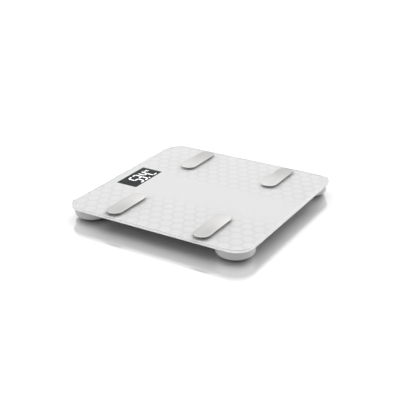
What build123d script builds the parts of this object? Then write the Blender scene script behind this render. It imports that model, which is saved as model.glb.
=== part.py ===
"""Digital body-composition bathroom scale: glass platform, four load-cell feet, display unit.

Millimetres, +Z up. The origin is the centre of the footprint on the floor. +Y points to the
display end of the platform and +X to the right of a person who stands on it and faces the display.
"""

import math
import os

from build123d import *

os.makedirs("parts", exist_ok=True)

# ---------------------------------------------------------------- driving dimensions
PLATE_SIZE = 300.0
PLATE_CORNER_R = 28.0
GLASS_TOP_Z = 23.0
GLASS_T = 5.0
GLASS_ARRIS = 0.6
FILM_T = 0.3
ADHESIVE_T = 0.3

DISPLAY_X = -2.5
DISPLAY_Y = 118.2
WINDOW_W = 72.5
WINDOW_D = 36.8

ELECTRODE_LENGTH = 81.0
ELECTRODE_WIDTH = 25.4
ELECTRODE_T = 1.3
ELECTRODE_EDGE_R = 1.0
ELECTRODE_X = 100.8
ELECTRODE_FRONT_Y = 72.7
ELECTRODE_REAR_Y = -73.3
GASKET_T = 0.2
STUD_R = 1.5

FOOT_INSET = 30.4
CUP_R = 27.5
CUP_WALL = 2.0
CUP_RIM_Z = 4.2
CUP_EDGE_R = 4.5
CUP_MOUTH_R = 21.5

HOUSING_W = 100.0
HOUSING_REAR_Y = 38.0
HOUSING_FRONT_Y = 144.0
HOUSING_CORNER_R = 9.0
HOUSING_WALL = 1.8
HOUSING_BOTTOM_Z = 4.6
COVER_T = 1.6

CELL_LEAD_R = 0.8
CELL_LEAD_Z = 14.65
ELECTRODE_LEAD_R = 0.7
ELECTRODE_LEAD_Z = 16.4
LEAD_HOLE_GAP = 0.1

# ---------------------------------------------------------------- derived positions
GLASS_BOTTOM_Z = GLASS_TOP_Z - GLASS_T
FILM_BOTTOM_Z = GLASS_BOTTOM_Z - FILM_T
BONDED_TOP_Z = FILM_BOTTOM_Z - ADHESIVE_T
FOOT_OFFSET = PLATE_SIZE / 2 - FOOT_INSET
HOUSING_D = HOUSING_FRONT_Y - HOUSING_REAR_Y
HOUSING_Y = (HOUSING_FRONT_Y + HOUSING_REAR_Y) / 2
FRAME_BOTTOM_Z = HOUSING_BOTTOM_Z + COVER_T

SIDES = (-1, 1)
CORNERS = {
    "front_left": (-1, 1),
    "front_right": (1, 1),
    "rear_left": (-1, -1),
    "rear_right": (1, -1),
}
ELECTRODES = {
    "front_left": (-ELECTRODE_X, ELECTRODE_FRONT_Y),
    "front_right": (ELECTRODE_X, ELECTRODE_FRONT_Y),
    "rear_left": (-ELECTRODE_X, ELECTRODE_REAR_Y),
    "rear_right": (ELECTRODE_X, ELECTRODE_REAR_Y),
}
FEET = {name: (sx * FOOT_OFFSET, sy * FOOT_OFFSET) for name, (sx, sy) in CORNERS.items()}

# Distances of the lead runs from the housing's centre line
CELL_LEAD_RUN = 36.5
ELECTRODE_LEAD_RUN = 40.5
FRONT_ELECTRODE_LEAD_RUN = 43.0
LEAD_END_Y = 88.5


def save(part, name):
    """Label a finished piece and write its STEP file."""
    part.label = name
    export_step(part, f"parts/{name}.step")


def upright_plane(x, y):
    """Plane through (x, y) whose local axes are world X and world Z."""
    return Plane(origin=(x, y, 0), x_dir=(1, 0, 0), z_dir=(0, -1, 0))


def vertical_axis(x, y):
    """Vertical axis through (x, y)."""
    return Axis((x, y, 0), (0, 0, 1))


# ---------------------------------------------------------------- platform
with BuildPart() as glass_platform:
    with BuildSketch(Plane.XY.offset(GLASS_BOTTOM_Z)):
        RectangleRounded(PLATE_SIZE, PLATE_SIZE, PLATE_CORNER_R)
    extrude(amount=GLASS_T)
    rims = glass_platform.edges().group_by(Axis.Z)
    chamfer(rims[0] + rims[-1], GLASS_ARRIS)
    with BuildSketch(Plane.XY.offset(GLASS_BOTTOM_Z)):
        with Locations(*ELECTRODES.values()):
            Circle(STUD_R + 0.5)
    extrude(amount=GLASS_T, mode=Mode.SUBTRACT)
save(glass_platform.part, "glass_platform")

with BuildPart() as printed_film:
    with BuildSketch(Plane.XY.offset(FILM_BOTTOM_Z)):
        RectangleRounded(PLATE_SIZE - 2.4, PLATE_SIZE - 2.4, PLATE_CORNER_R - 1.2)
        with Locations((DISPLAY_X, DISPLAY_Y)):
            Rectangle(WINDOW_W, WINDOW_D, mode=Mode.SUBTRACT)
        with Locations(*ELECTRODES.values()):
            Circle(STUD_R + 0.5, mode=Mode.SUBTRACT)
    extrude(amount=FILM_T)
save(printed_film.part, "printed_film")

# ---------------------------------------------------------------- electrodes and their fixings
WASHER_T = 0.5
TERMINAL_T = 0.7
NUT_T = 2.2
TERMINAL_TOP_Z = FILM_BOTTOM_Z - WASHER_T
NUT_TOP_Z = TERMINAL_TOP_Z - TERMINAL_T
NUT_BOTTOM_Z = NUT_TOP_Z - NUT_T
STUD_END_Z = NUT_BOTTOM_Z - 0.5
BARREL_END = 10.0

for name, (x, y) in ELECTRODES.items():
    with BuildPart() as electrode:
        with BuildSketch(Plane((x, y, GLASS_TOP_Z + GASKET_T))):
            SlotOverall(ELECTRODE_LENGTH, ELECTRODE_WIDTH)
        extrude(amount=ELECTRODE_T)
        fillet(electrode.edges().group_by(Axis.Z)[-1], ELECTRODE_EDGE_R)
        with BuildSketch(Plane((x, y, STUD_END_Z))):
            Circle(STUD_R)
        extrude(amount=GLASS_TOP_Z + GASKET_T - STUD_END_Z)
    save(electrode.part, f"electrode_{name}")

with BuildPart() as electrode_gaskets:
    for x, y in ELECTRODES.values():
        with BuildSketch(Plane((x, y, GLASS_TOP_Z))):
            SlotOverall(ELECTRODE_LENGTH - 0.8, ELECTRODE_WIDTH - 0.8)
            Circle(STUD_R + 0.1, mode=Mode.SUBTRACT)
        extrude(amount=GASKET_T)
save(electrode_gaskets.part, "electrode_gaskets")

with BuildPart() as electrode_washers:
    for x, y in ELECTRODES.values():
        with BuildSketch(Plane((x, y, TERMINAL_TOP_Z))):
            Circle(4.0)
            Circle(STUD_R + 0.1, mode=Mode.SUBTRACT)
        extrude(amount=WASHER_T)
save(electrode_washers.part, "electrode_washers")

with BuildPart() as ring_terminals:
    for x, y in ELECTRODES.values():
        inward = -1 if x > 0 else 1
        with BuildSketch(Plane((x, y, NUT_TOP_Z))):
            Circle(3.4)
            with Locations((inward * 3.5, 0)):
                Rectangle(7.0, 2.6)
            Circle(STUD_R + 0.1, mode=Mode.SUBTRACT)
        extrude(amount=TERMINAL_T)
        with BuildSketch(Plane((x + inward * 6.0, y, ELECTRODE_LEAD_Z), z_dir=(inward, 0, 0))):
            Circle(1.2)
        extrude(amount=BARREL_END - 6.0)
save(ring_terminals.part, "ring_terminals")

with BuildPart() as electrode_nuts:
    for x, y in ELECTRODES.values():
        with BuildSketch(Plane((x, y, NUT_BOTTOM_Z))):
            RegularPolygon(2.75, 6, major_radius=False)
            Circle(STUD_R + 0.05, mode=Mode.SUBTRACT)
        extrude(amount=NUT_T)
save(electrode_nuts.part, "electrode_nuts")

# ---------------------------------------------------------------- feet
CUP_CEILING_T = 1.8
CUP_CEILING_Z = BONDED_TOP_Z - CUP_CEILING_T
CUP_FLOOR_T = 1.6
LOAD_CELL_SIZE = 34.0
LOAD_CELL_T = 2.0
LOAD_CELL_TOP_Z = CUP_CEILING_Z - 1.9
LOAD_CELL_BOTTOM_Z = LOAD_CELL_TOP_Z - LOAD_CELL_T
CELL_SCREW_OFFSET = 13.5
CELL_SCREW_R = 1.1
PAD_T = 1.8
PAD_R = 18.5
PAD_RECESS = 0.6
BASE_R = 20.8
BASE_BOTTOM_Z = PAD_T - PAD_RECESS
BASE_FLANGE_Z = 6.4
BASE_FLANGE_R = 23.4
BASE_TOP_Z = 7.4
BASE_POST_R = 5.0
BASE_WALL = 1.8
GAUGE_SIZE = (8.0, 6.0, 1.8)


def corner_points(offset):
    """Four points at plus and minus offset."""
    return [(i * offset, j * offset) for i in SIDES for j in SIDES]


for name, (x, y) in FEET.items():
    inward = -1 if x > 0 else 1

    with BuildPart() as foot_cup:
        with BuildSketch(upright_plane(x, y)):
            with BuildLine():
                Line((0, BONDED_TOP_Z), (CUP_R, BONDED_TOP_Z))
                Line((CUP_R, BONDED_TOP_Z), (CUP_R, CUP_RIM_Z + CUP_EDGE_R))
                RadiusArc((CUP_R, CUP_RIM_Z + CUP_EDGE_R), (CUP_R - CUP_EDGE_R, CUP_RIM_Z), CUP_EDGE_R)
                Polyline(
                    (CUP_R - CUP_EDGE_R, CUP_RIM_Z),
                    (CUP_MOUTH_R, CUP_RIM_Z),
                    (CUP_MOUTH_R, CUP_RIM_Z + CUP_FLOOR_T),
                    (CUP_R - CUP_EDGE_R, CUP_RIM_Z + CUP_FLOOR_T),
                    (CUP_R - CUP_WALL, CUP_RIM_Z + CUP_EDGE_R),
                    (CUP_R - CUP_WALL, CUP_CEILING_Z),
                    (0, CUP_CEILING_Z),
                    (0, BONDED_TOP_Z),
                )
            make_face()
        revolve(axis=vertical_axis(x, y))
        with BuildSketch(Plane((x, y, LOAD_CELL_TOP_Z))):
            with Locations(*corner_points(CELL_SCREW_OFFSET)):
                Circle(3.2)
        extrude(until=Until.NEXT)
        with BuildSketch(Plane((x, y, LOAD_CELL_TOP_Z))):
            with Locations(*corner_points(CELL_SCREW_OFFSET)):
                Circle(CELL_SCREW_R)
        extrude(amount=3.0, mode=Mode.SUBTRACT)
        with Locations((x + inward * (CUP_R - CUP_WALL / 2), y, CELL_LEAD_Z)):
            Cylinder(CELL_LEAD_R + LEAD_HOLE_GAP, 2 * CUP_WALL, rotation=(0, 90, 0), mode=Mode.SUBTRACT)
    save(foot_cup.part, f"foot_cup_{name}")

    with BuildPart() as load_cell:
        with BuildSketch(Plane((x, y, LOAD_CELL_BOTTOM_Z))):
            RectangleRounded(LOAD_CELL_SIZE, LOAD_CELL_SIZE, 5.0)
            Rectangle(20.0, 24.0, mode=Mode.SUBTRACT)
            with Locations((0, -5.0)):
                Rectangle(12.0, 17.0)
            with Locations(*corner_points(CELL_SCREW_OFFSET)):
                Circle(CELL_SCREW_R + 0.15, mode=Mode.SUBTRACT)
        extrude(amount=LOAD_CELL_T)
    save(load_cell.part, f"load_cell_{name}")

    with BuildPart() as foot_base:
        with BuildSketch(upright_plane(x, y)):
            Polygon(
                (0, PAD_T),
                (PAD_R, PAD_T),
                (PAD_R, BASE_BOTTOM_Z),
                (BASE_R - 1.0, BASE_BOTTOM_Z),
                (BASE_R, BASE_BOTTOM_Z + 1.0),
                (BASE_R, BASE_FLANGE_Z),
                (BASE_FLANGE_R, BASE_FLANGE_Z),
                (BASE_FLANGE_R, BASE_TOP_Z),
                (BASE_R - BASE_WALL, BASE_TOP_Z),
                (BASE_R - BASE_WALL, PAD_T + BASE_WALL),
                (BASE_POST_R, PAD_T + BASE_WALL),
                (BASE_POST_R, LOAD_CELL_BOTTOM_Z),
                (0, LOAD_CELL_BOTTOM_Z),
                align=None,
            )
        revolve(axis=vertical_axis(x, y))
        with BuildSketch(Plane((x, y, PAD_T + BASE_WALL))):
            with PolarLocations((BASE_R - BASE_WALL + BASE_POST_R) / 2, 6):
                Rectangle(BASE_R - BASE_WALL - BASE_POST_R + 1.0, 1.4)
        extrude(amount=BASE_TOP_Z - PAD_T - BASE_WALL)
    save(foot_base.part, f"foot_base_{name}")

    with BuildPart() as rubber_pad:
        with BuildSketch(Plane((x, y, 0))):
            Circle(PAD_R - 0.1)
        extrude(amount=PAD_T)
        fillet(rubber_pad.edges().group_by(Axis.Z)[0], 0.6)
        with BuildSketch(Plane((x, y, 0))):
            for groove_r in (8.0, 13.0):
                Circle(groove_r + 0.6)
                Circle(groove_r - 0.6, mode=Mode.SUBTRACT)
        extrude(amount=0.5, mode=Mode.SUBTRACT)
    save(rubber_pad.part, f"rubber_pad_{name}")

with BuildPart() as foot_adhesive:
    for x, y in FEET.values():
        with BuildSketch(Plane((x, y, BONDED_TOP_Z))):
            Circle(CUP_R - 0.6)
            Circle(8.0, mode=Mode.SUBTRACT)
        extrude(amount=ADHESIVE_T)
save(foot_adhesive.part, "foot_adhesive")

with BuildPart() as strain_gauges:
    for x, y in FEET.values():
        with Locations((x, y - 6.0, LOAD_CELL_TOP_Z)):
            Box(*GAUGE_SIZE, align=(Align.CENTER, Align.CENTER, Align.MIN))
    fillet(strain_gauges.edges().filter_by(Axis.Z), 1.5)
save(strain_gauges.part, "strain_gauges")

with BuildPart() as load_cell_screws:
    for x, y in FEET.values():
        for i, j in corner_points(CELL_SCREW_OFFSET):
            with BuildSketch(Plane((x + i, y + j, LOAD_CELL_BOTTOM_Z - 1.3))):
                Circle(2.2)
            extrude(amount=1.3)
            with BuildSketch(Plane((x + i, y + j, LOAD_CELL_BOTTOM_Z))):
                Circle(CELL_SCREW_R - 0.05)
            extrude(amount=LOAD_CELL_T + 2.6)
save(load_cell_screws.part, "load_cell_screws")

# ---------------------------------------------------------------- electronics housing
BOSS_R = 3.2
BOSS_X = 45.5
COVER_SCREW_R = 1.2
BOSSES = [(DISPLAY_X + s * BOSS_X, y) for s in SIDES for y in (42.5, 60.0, 139.5)]

BAY_HALF_W = 26.0
BAY_REAR_Y = 46.5
BAY_FRONT_Y = 85.8
BAY_WALL = 1.5
BAY_ROOF_Z = 16.4
BAY_Y = (BAY_REAR_Y + BAY_FRONT_Y) / 2
BAY_D = BAY_FRONT_Y - BAY_REAR_Y

CELL_R = 5.15
CELL_LENGTH = 43.6
CELL_NUB = 0.9
CELL_PITCH = 11.9
CELL_Z = 11.2
CELL_ROWS = [(BAY_Y + i * CELL_PITCH, 1 if i == 0 else -1) for i in (-1, 0, 1)]

HINGE_Y = 48.2
HINGE_R = 1.2
HINGE_Z = HOUSING_BOTTOM_Z + HINGE_R
HINGE_PIN_R = 0.7
HINGE_PIN_LENGTH = 1.2
DOOR_T = 1.2
DOOR_GAP = 0.35
FINGER_DISH_R = 7.0
FINGER_DISH_DEPTH = 0.7

BUTTON_X = DISPLAY_X + 30.0
BUTTON_Y = 112.0
BUTTON_R = 4.0

BOARD_TOP_Z = 11.8
BOARD_T = 1.2
BOARD_BOTTOM_Z = BOARD_TOP_Z - BOARD_T

with BuildPart() as electronics_frame:
    with BuildSketch(Plane((DISPLAY_X, HOUSING_Y, FRAME_BOTTOM_Z))):
        RectangleRounded(HOUSING_W, HOUSING_D, HOUSING_CORNER_R)
        RectangleRounded(
            HOUSING_W - 2 * HOUSING_WALL,
            HOUSING_D - 2 * HOUSING_WALL,
            HOUSING_CORNER_R - HOUSING_WALL,
            mode=Mode.SUBTRACT,
        )
        with Locations((0, BAY_Y - HOUSING_Y)):
            Rectangle(2 * (BAY_HALF_W + BAY_WALL), BAY_D + 2 * BAY_WALL)
            Rectangle(2 * BAY_HALF_W, BAY_D, mode=Mode.SUBTRACT)
    extrude(amount=BONDED_TOP_Z - FRAME_BOTTOM_Z)
    with BuildSketch(Plane((DISPLAY_X, BAY_Y, BAY_ROOF_Z))):
        Rectangle(2 * BAY_HALF_W, BAY_D)
    extrude(amount=BONDED_TOP_Z - BAY_ROOF_Z)
    with BuildSketch(Plane((DISPLAY_X, BAY_Y, BAY_ROOF_Z - 2.4))):
        with Locations((0, -CELL_PITCH / 2), (0, CELL_PITCH / 2)):
            Rectangle(36.0, 1.0)
    extrude(amount=2.4)
    # webs that tie the battery bay to the outer wall
    with BuildSketch(Plane((DISPLAY_X, 0, FRAME_BOTTOM_Z))):
        with Locations(*[(s * 15.0, (HOUSING_REAR_Y + BAY_REAR_Y) / 2) for s in SIDES]):
            Rectangle(1.5, BAY_REAR_Y - HOUSING_REAR_Y - BAY_WALL)
    extrude(amount=BONDED_TOP_Z - FRAME_BOTTOM_Z)
    with BuildSketch(Plane.XY.offset(FRAME_BOTTOM_Z)):
        with Locations(*BOSSES):
            Circle(BOSS_R)
    extrude(amount=9.0)
    with BuildSketch(Plane.XY.offset(FRAME_BOTTOM_Z)):
        with Locations(*BOSSES):
            Circle(COVER_SCREW_R + 0.05)
    extrude(amount=8.0, mode=Mode.SUBTRACT)
    for side in SIDES:
        rear_holes = (
            (CELL_LEAD_RUN, CELL_LEAD_Z, CELL_LEAD_R),
            (ELECTRODE_LEAD_RUN, ELECTRODE_LEAD_Z, ELECTRODE_LEAD_R),
        )
        for run, z, radius in rear_holes:
            with Locations((DISPLAY_X + side * run, HOUSING_REAR_Y + HOUSING_WALL / 2, z)):
                Cylinder(radius + LEAD_HOLE_GAP, 2 * HOUSING_WALL, rotation=(90, 0, 0), mode=Mode.SUBTRACT)
        side_holes = (
            (FOOT_OFFSET, CELL_LEAD_Z, CELL_LEAD_R),
            (ELECTRODE_FRONT_Y, ELECTRODE_LEAD_Z, ELECTRODE_LEAD_R),
        )
        for y, z, radius in side_holes:
            with Locations((DISPLAY_X + side * (HOUSING_W - HOUSING_WALL) / 2, y, z)):
                Cylinder(radius + LEAD_HOLE_GAP, 2 * HOUSING_WALL, rotation=(0, 90, 0), mode=Mode.SUBTRACT)
        with Locations((DISPLAY_X + side * (BAY_HALF_W + HINGE_PIN_LENGTH / 2), HINGE_Y, HINGE_Z)):
            Cylinder(HINGE_PIN_R + 0.05, HINGE_PIN_LENGTH + 0.2, rotation=(0, 90, 0), mode=Mode.SUBTRACT)
save(electronics_frame.part, "electronics_frame")

with BuildPart() as frame_adhesive:
    with BuildSketch(Plane((DISPLAY_X, HOUSING_Y, BONDED_TOP_Z))):
        RectangleRounded(HOUSING_W, HOUSING_D, HOUSING_CORNER_R)
        RectangleRounded(
            HOUSING_W - 2 * HOUSING_WALL,
            HOUSING_D - 2 * HOUSING_WALL,
            HOUSING_CORNER_R - HOUSING_WALL,
            mode=Mode.SUBTRACT,
        )
        with Locations((0, BAY_Y - HOUSING_Y)):
            Rectangle(2 * BAY_HALF_W, BAY_D)
    extrude(amount=ADHESIVE_T)
save(frame_adhesive.part, "frame_adhesive")

with BuildPart() as bottom_cover:
    with BuildSketch(Plane((DISPLAY_X, HOUSING_Y, HOUSING_BOTTOM_Z))):
        RectangleRounded(HOUSING_W, HOUSING_D, HOUSING_CORNER_R)
    extrude(amount=COVER_T)
    fillet(bottom_cover.edges().group_by(Axis.Z)[0], 1.0)
    with BuildSketch(Plane((DISPLAY_X, BAY_Y, HOUSING_BOTTOM_Z))):
        Rectangle(2 * BAY_HALF_W, BAY_D)
    extrude(amount=COVER_T, mode=Mode.SUBTRACT)
    with BuildSketch(Plane((DISPLAY_X, BAY_FRONT_Y, HOUSING_BOTTOM_Z))):
        Circle(FINGER_DISH_R)
    extrude(amount=FINGER_DISH_DEPTH, mode=Mode.SUBTRACT)
    with BuildSketch(Plane((BUTTON_X, BUTTON_Y, HOUSING_BOTTOM_Z))):
        Circle(BUTTON_R + 0.3)
    extrude(amount=COVER_T, mode=Mode.SUBTRACT)
    with Locations(Plane.XY.offset(HOUSING_BOTTOM_Z)):
        with Locations(*[Location((x, y, 0), (180, 0, 0)) for x, y in BOSSES]):
            CounterBoreHole(COVER_SCREW_R + 0.2, 2.8, 0.8, depth=COVER_T)
    for side in SIDES:
        with Locations((DISPLAY_X + side * (BAY_HALF_W + HINGE_PIN_LENGTH / 2), HINGE_Y, HINGE_Z)):
            Cylinder(HINGE_PIN_R + 0.05, HINGE_PIN_LENGTH + 0.2, rotation=(0, 90, 0), mode=Mode.SUBTRACT)
save(bottom_cover.part, "bottom_cover")

with BuildPart() as cover_screws:
    for x, y in BOSSES:
        with BuildSketch(Plane((x, y, HOUSING_BOTTOM_Z + 0.05))):
            Circle(2.5)
        extrude(amount=0.75)
        with BuildSketch(Plane((x, y, HOUSING_BOTTOM_Z + 0.8))):
            Circle(COVER_SCREW_R)
        extrude(amount=7.5)
        with BuildSketch(Plane((x, y, HOUSING_BOTTOM_Z + 0.05))):
            Rectangle(3.0, 0.6)
            Rectangle(0.6, 3.0)
        extrude(amount=0.4, mode=Mode.SUBTRACT)
save(cover_screws.part, "cover_screws")

# ---------------------------------------------------------------- battery door and cells
DOOR_FRONT_Y = BAY_FRONT_Y - DOOR_GAP
DOOR_W = 2 * (BAY_HALF_W - DOOR_GAP)

with BuildPart() as battery_door:
    with BuildSketch(Plane((DISPLAY_X, (HINGE_Y + DOOR_FRONT_Y) / 2, HOUSING_BOTTOM_Z))):
        Rectangle(DOOR_W, DOOR_FRONT_Y - HINGE_Y)
    extrude(amount=DOOR_T)
    # shallow dish for a fingertip, which goes on across the cover
    with BuildSketch(Plane((DISPLAY_X, BAY_FRONT_Y, HOUSING_BOTTOM_Z))):
        Circle(FINGER_DISH_R)
    extrude(amount=FINGER_DISH_DEPTH, mode=Mode.SUBTRACT)
    with Locations((DISPLAY_X, HINGE_Y, HINGE_Z)):
        Cylinder(HINGE_R, DOOR_W, rotation=(0, 90, 0))
        Cylinder(HINGE_PIN_R, DOOR_W + 2 * (HINGE_PIN_LENGTH + DOOR_GAP - 0.1), rotation=(0, 90, 0))
    with BuildSketch(Plane((DISPLAY_X, BAY_Y + 8.0, HOUSING_BOTTOM_Z))):
        with GridLocations(0, 2.4, 1, 4):
            SlotOverall(16.0, 1.0)
    extrude(amount=0.35, mode=Mode.SUBTRACT)
save(battery_door.part, "battery_door")

POSITIVE_PLATE_T = 0.5
POSITIVE_DIMPLE = 0.6
CELL_END_X = BAY_HALF_W - POSITIVE_PLATE_T - POSITIVE_DIMPLE
SPRING_WIRE_R = 0.35
SPRING_R = 3.2
SPRING_TURNS = 4
SPRING_SPACE = 2 * BAY_HALF_W - POSITIVE_PLATE_T - POSITIVE_DIMPLE - CELL_LENGTH - CELL_NUB - 0.5
SPRING_HEIGHT = SPRING_SPACE - 2 * SPRING_WIRE_R - 0.1

with BuildPart() as battery_cells:
    for y, direction in CELL_ROWS:
        nub_face = Plane((DISPLAY_X + direction * CELL_END_X, y, CELL_Z), z_dir=(-direction, 0, 0))
        with BuildSketch(nub_face):
            Circle(1.9)
        extrude(amount=CELL_NUB)
        with BuildSketch(nub_face.offset(CELL_NUB)):
            Circle(CELL_R)
        extrude(amount=CELL_LENGTH)
save(battery_cells.part, "battery_cells")

with BuildPart() as battery_contacts:
    for y, direction in CELL_ROWS:
        wall = Plane((DISPLAY_X + direction * BAY_HALF_W, y, CELL_Z), z_dir=(-direction, 0, 0))
        with BuildSketch(wall):
            Rectangle(8.4, 8.4)
        extrude(amount=POSITIVE_PLATE_T)
        with BuildSketch(wall.offset(POSITIVE_PLATE_T)):
            Circle(1.6)
        extrude(amount=POSITIVE_DIMPLE)
save(battery_contacts.part, "battery_contacts")

with BuildPart() as battery_springs:
    for y, direction in CELL_ROWS:
        wall = Plane((DISPLAY_X - direction * BAY_HALF_W, y, CELL_Z), z_dir=(direction, 0, 0))
        with BuildSketch(wall):
            Rectangle(8.4, 8.4)
        extrude(amount=0.5)
        coil_start = wall.offset(0.5 + SPRING_WIRE_R - 0.1)
        with BuildLine() as coil:
            Helix(
                pitch=SPRING_HEIGHT / SPRING_TURNS,
                height=SPRING_HEIGHT,
                radius=SPRING_R,
                center=coil_start.origin,
                direction=coil_start.z_dir,
            )
        with BuildSketch(Plane(origin=coil.line @ 0, z_dir=coil.line % 0)):
            Circle(SPRING_WIRE_R)
        sweep(path=coil.line, is_frenet=True)
save(battery_springs.part, "battery_springs")

# ---------------------------------------------------------------- display
LCD_W = 76.0
LCD_D = 40.0
LCD_T = 2.4
LCD_TOP_Z = FILM_BOTTOM_Z
BACKLIGHT_T = LCD_TOP_Z - LCD_T - BOARD_TOP_Z
LCD_REAR_Y = DISPLAY_Y - LCD_D / 2
ZEBRA_D = 2.0

with BuildPart() as lcd_panel:
    with BuildSketch(Plane((DISPLAY_X, DISPLAY_Y, LCD_TOP_Z - LCD_T))):
        Rectangle(LCD_W, LCD_D)
    extrude(amount=LCD_T)
    chamfer(lcd_panel.edges().filter_by(Axis.Z), 0.5)
save(lcd_panel.part, "lcd_panel")

with BuildPart() as lcd_backlight:
    with BuildSketch(Plane((DISPLAY_X, DISPLAY_Y + 2.0, BOARD_TOP_Z))):
        Rectangle(LCD_W - 2.0, LCD_D - 4.5)
    extrude(amount=BACKLIGHT_T)
    with BuildSketch(Plane((DISPLAY_X, DISPLAY_Y + 2.0, BOARD_TOP_Z))):
        Rectangle(LCD_W - 6.0, LCD_D - 8.5)
    extrude(amount=BACKLIGHT_T - 2.2, mode=Mode.SUBTRACT)
save(lcd_backlight.part, "lcd_backlight")

with BuildPart() as zebra_strip:
    with BuildSketch(Plane((DISPLAY_X, LCD_REAR_Y + 0.4 + ZEBRA_D / 2, BOARD_TOP_Z))):
        Rectangle(LCD_W - 8.0, ZEBRA_D)
    extrude(amount=BACKLIGHT_T)
save(zebra_strip.part, "zebra_strip")

LCD_FRAME_WALL = 1.9
FRAME_BOSSES = [(i * 42.0, j * 16.0) for i in SIDES for j in SIDES]

with BuildPart() as lcd_frame:
    with BuildSketch(Plane((DISPLAY_X, DISPLAY_Y, BOARD_TOP_Z))):
        RectangleRounded(LCD_W + 2 * LCD_FRAME_WALL, LCD_D + 2 * LCD_FRAME_WALL, 1.5)
        with Locations(*FRAME_BOSSES):
            Circle(2.6)
        Rectangle(LCD_W + 0.2, LCD_D + 0.2, mode=Mode.SUBTRACT)
        with Locations(*FRAME_BOSSES):
            Circle(0.9, mode=Mode.SUBTRACT)
    extrude(amount=FILM_BOTTOM_Z - BOARD_TOP_Z)
save(lcd_frame.part, "lcd_frame")

# ---------------------------------------------------------------- circuit board and its parts
BOARD_W = 94.0
BOARD_REAR_Y = 88.0
BOARD_FRONT_Y = 141.5

with BuildPart() as circuit_board:
    with BuildSketch(Plane((DISPLAY_X, (BOARD_REAR_Y + BOARD_FRONT_Y) / 2, BOARD_BOTTOM_Z))):
        RectangleRounded(BOARD_W, BOARD_FRONT_Y - BOARD_REAR_Y, 1.5)
    extrude(amount=BOARD_T)
    with BuildSketch(Plane.XY.offset(BOARD_BOTTOM_Z)):
        with Locations(*BOSSES):
            Circle(BOSS_R + 0.5)
        with Locations(*[(DISPLAY_X + x, DISPLAY_Y + y) for x, y in FRAME_BOSSES]):
            Circle(1.1)
    extrude(amount=BOARD_T, mode=Mode.SUBTRACT)
save(circuit_board.part, "circuit_board")

with BuildPart() as board_screws:
    for x, y in FRAME_BOSSES:
        with BuildSketch(Plane((DISPLAY_X + x, DISPLAY_Y + y, BOARD_BOTTOM_Z - 1.2))):
            Circle(1.9)
        extrude(amount=1.2)
        with BuildSketch(Plane((DISPLAY_X + x, DISPLAY_Y + y, BOARD_BOTTOM_Z))):
            Circle(0.85)
        extrude(amount=5.0)
save(board_screws.part, "board_screws")

with BuildPart() as lead_connectors:
    for side in SIDES:
        with Locations((DISPLAY_X + side * 40.3, LEAD_END_Y + 2.5, BOARD_TOP_Z)):
            Box(11.4, 5.0, 5.4, align=(Align.CENTER, Align.CENTER, Align.MIN))
        with Locations((DISPLAY_X + side * 43.1, FOOT_OFFSET, BOARD_TOP_Z)):
            Box(4.8, 10.0, 5.0, align=(Align.CENTER, Align.CENTER, Align.MIN))
save(lead_connectors.part, "lead_connectors")

with BuildPart() as controller_chip:
    with Locations((DISPLAY_X - 12.0, 116.0, BOARD_BOTTOM_Z)):
        Box(11.0, 11.0, 1.5, align=(Align.CENTER, Align.CENTER, Align.MAX))
    chamfer(controller_chip.edges().group_by(Axis.Z)[0], 0.3)
save(controller_chip.part, "controller_chip")

with BuildPart() as converter_chip:
    with Locations((DISPLAY_X - 32.0, 104.0, BOARD_BOTTOM_Z)):
        Box(6.0, 10.0, 1.6, align=(Align.CENTER, Align.CENTER, Align.MAX))
    chamfer(converter_chip.edges().group_by(Axis.Z)[0], 0.3)
save(converter_chip.part, "converter_chip")

with BuildPart() as crystal_can:
    with BuildSketch(Plane((DISPLAY_X + 6.0, 127.0, BOARD_BOTTOM_Z - 3.4))):
        SlotOverall(11.0, 4.6)
    extrude(amount=3.4)
    fillet(crystal_can.edges().group_by(Axis.Z)[0], 0.5)
save(crystal_can.part, "crystal_can")

with BuildPart() as capacitors:
    for x, y in ((-34.0, 128.0), (-26.0, 128.0), (8.0, 98.0), (16.0, 98.0)):
        with BuildSketch(Plane((DISPLAY_X + x, y, BOARD_BOTTOM_Z - 4.0))):
            Circle(2.5)
        extrude(amount=4.0)
    fillet(capacitors.edges().group_by(Axis.Z)[0], 0.4)
save(capacitors.part, "capacitors")

# ---------------------------------------------------------------- unit button on the underside
SWITCH_H = 2.0
SWITCH_BOTTOM_Z = BOARD_BOTTOM_Z - SWITCH_H
PLUNGER_R = 1.5
PLUNGER_BOTTOM_Z = SWITCH_BOTTOM_Z - 0.9
PLUNGER_TOP_Z = SWITCH_BOTTOM_Z + 0.8
BUTTON_BOTTOM_Z = HOUSING_BOTTOM_Z - 0.3
BUTTON_FLANGE_Z = FRAME_BOTTOM_Z + 0.3

with BuildPart() as unit_switch:
    with BuildSketch(Plane((BUTTON_X, BUTTON_Y, SWITCH_BOTTOM_Z))):
        Rectangle(6.0, 6.0)
    extrude(amount=SWITCH_H)
    with BuildSketch(Plane((BUTTON_X, BUTTON_Y, SWITCH_BOTTOM_Z))):
        Circle(PLUNGER_R + 0.1)
    extrude(amount=1.5, mode=Mode.SUBTRACT)
save(unit_switch.part, "unit_switch")

with BuildPart() as switch_plunger:
    with BuildSketch(Plane((BUTTON_X, BUTTON_Y, PLUNGER_BOTTOM_Z))):
        Circle(PLUNGER_R)
    extrude(amount=PLUNGER_TOP_Z - PLUNGER_BOTTOM_Z)
save(switch_plunger.part, "switch_plunger")

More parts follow.
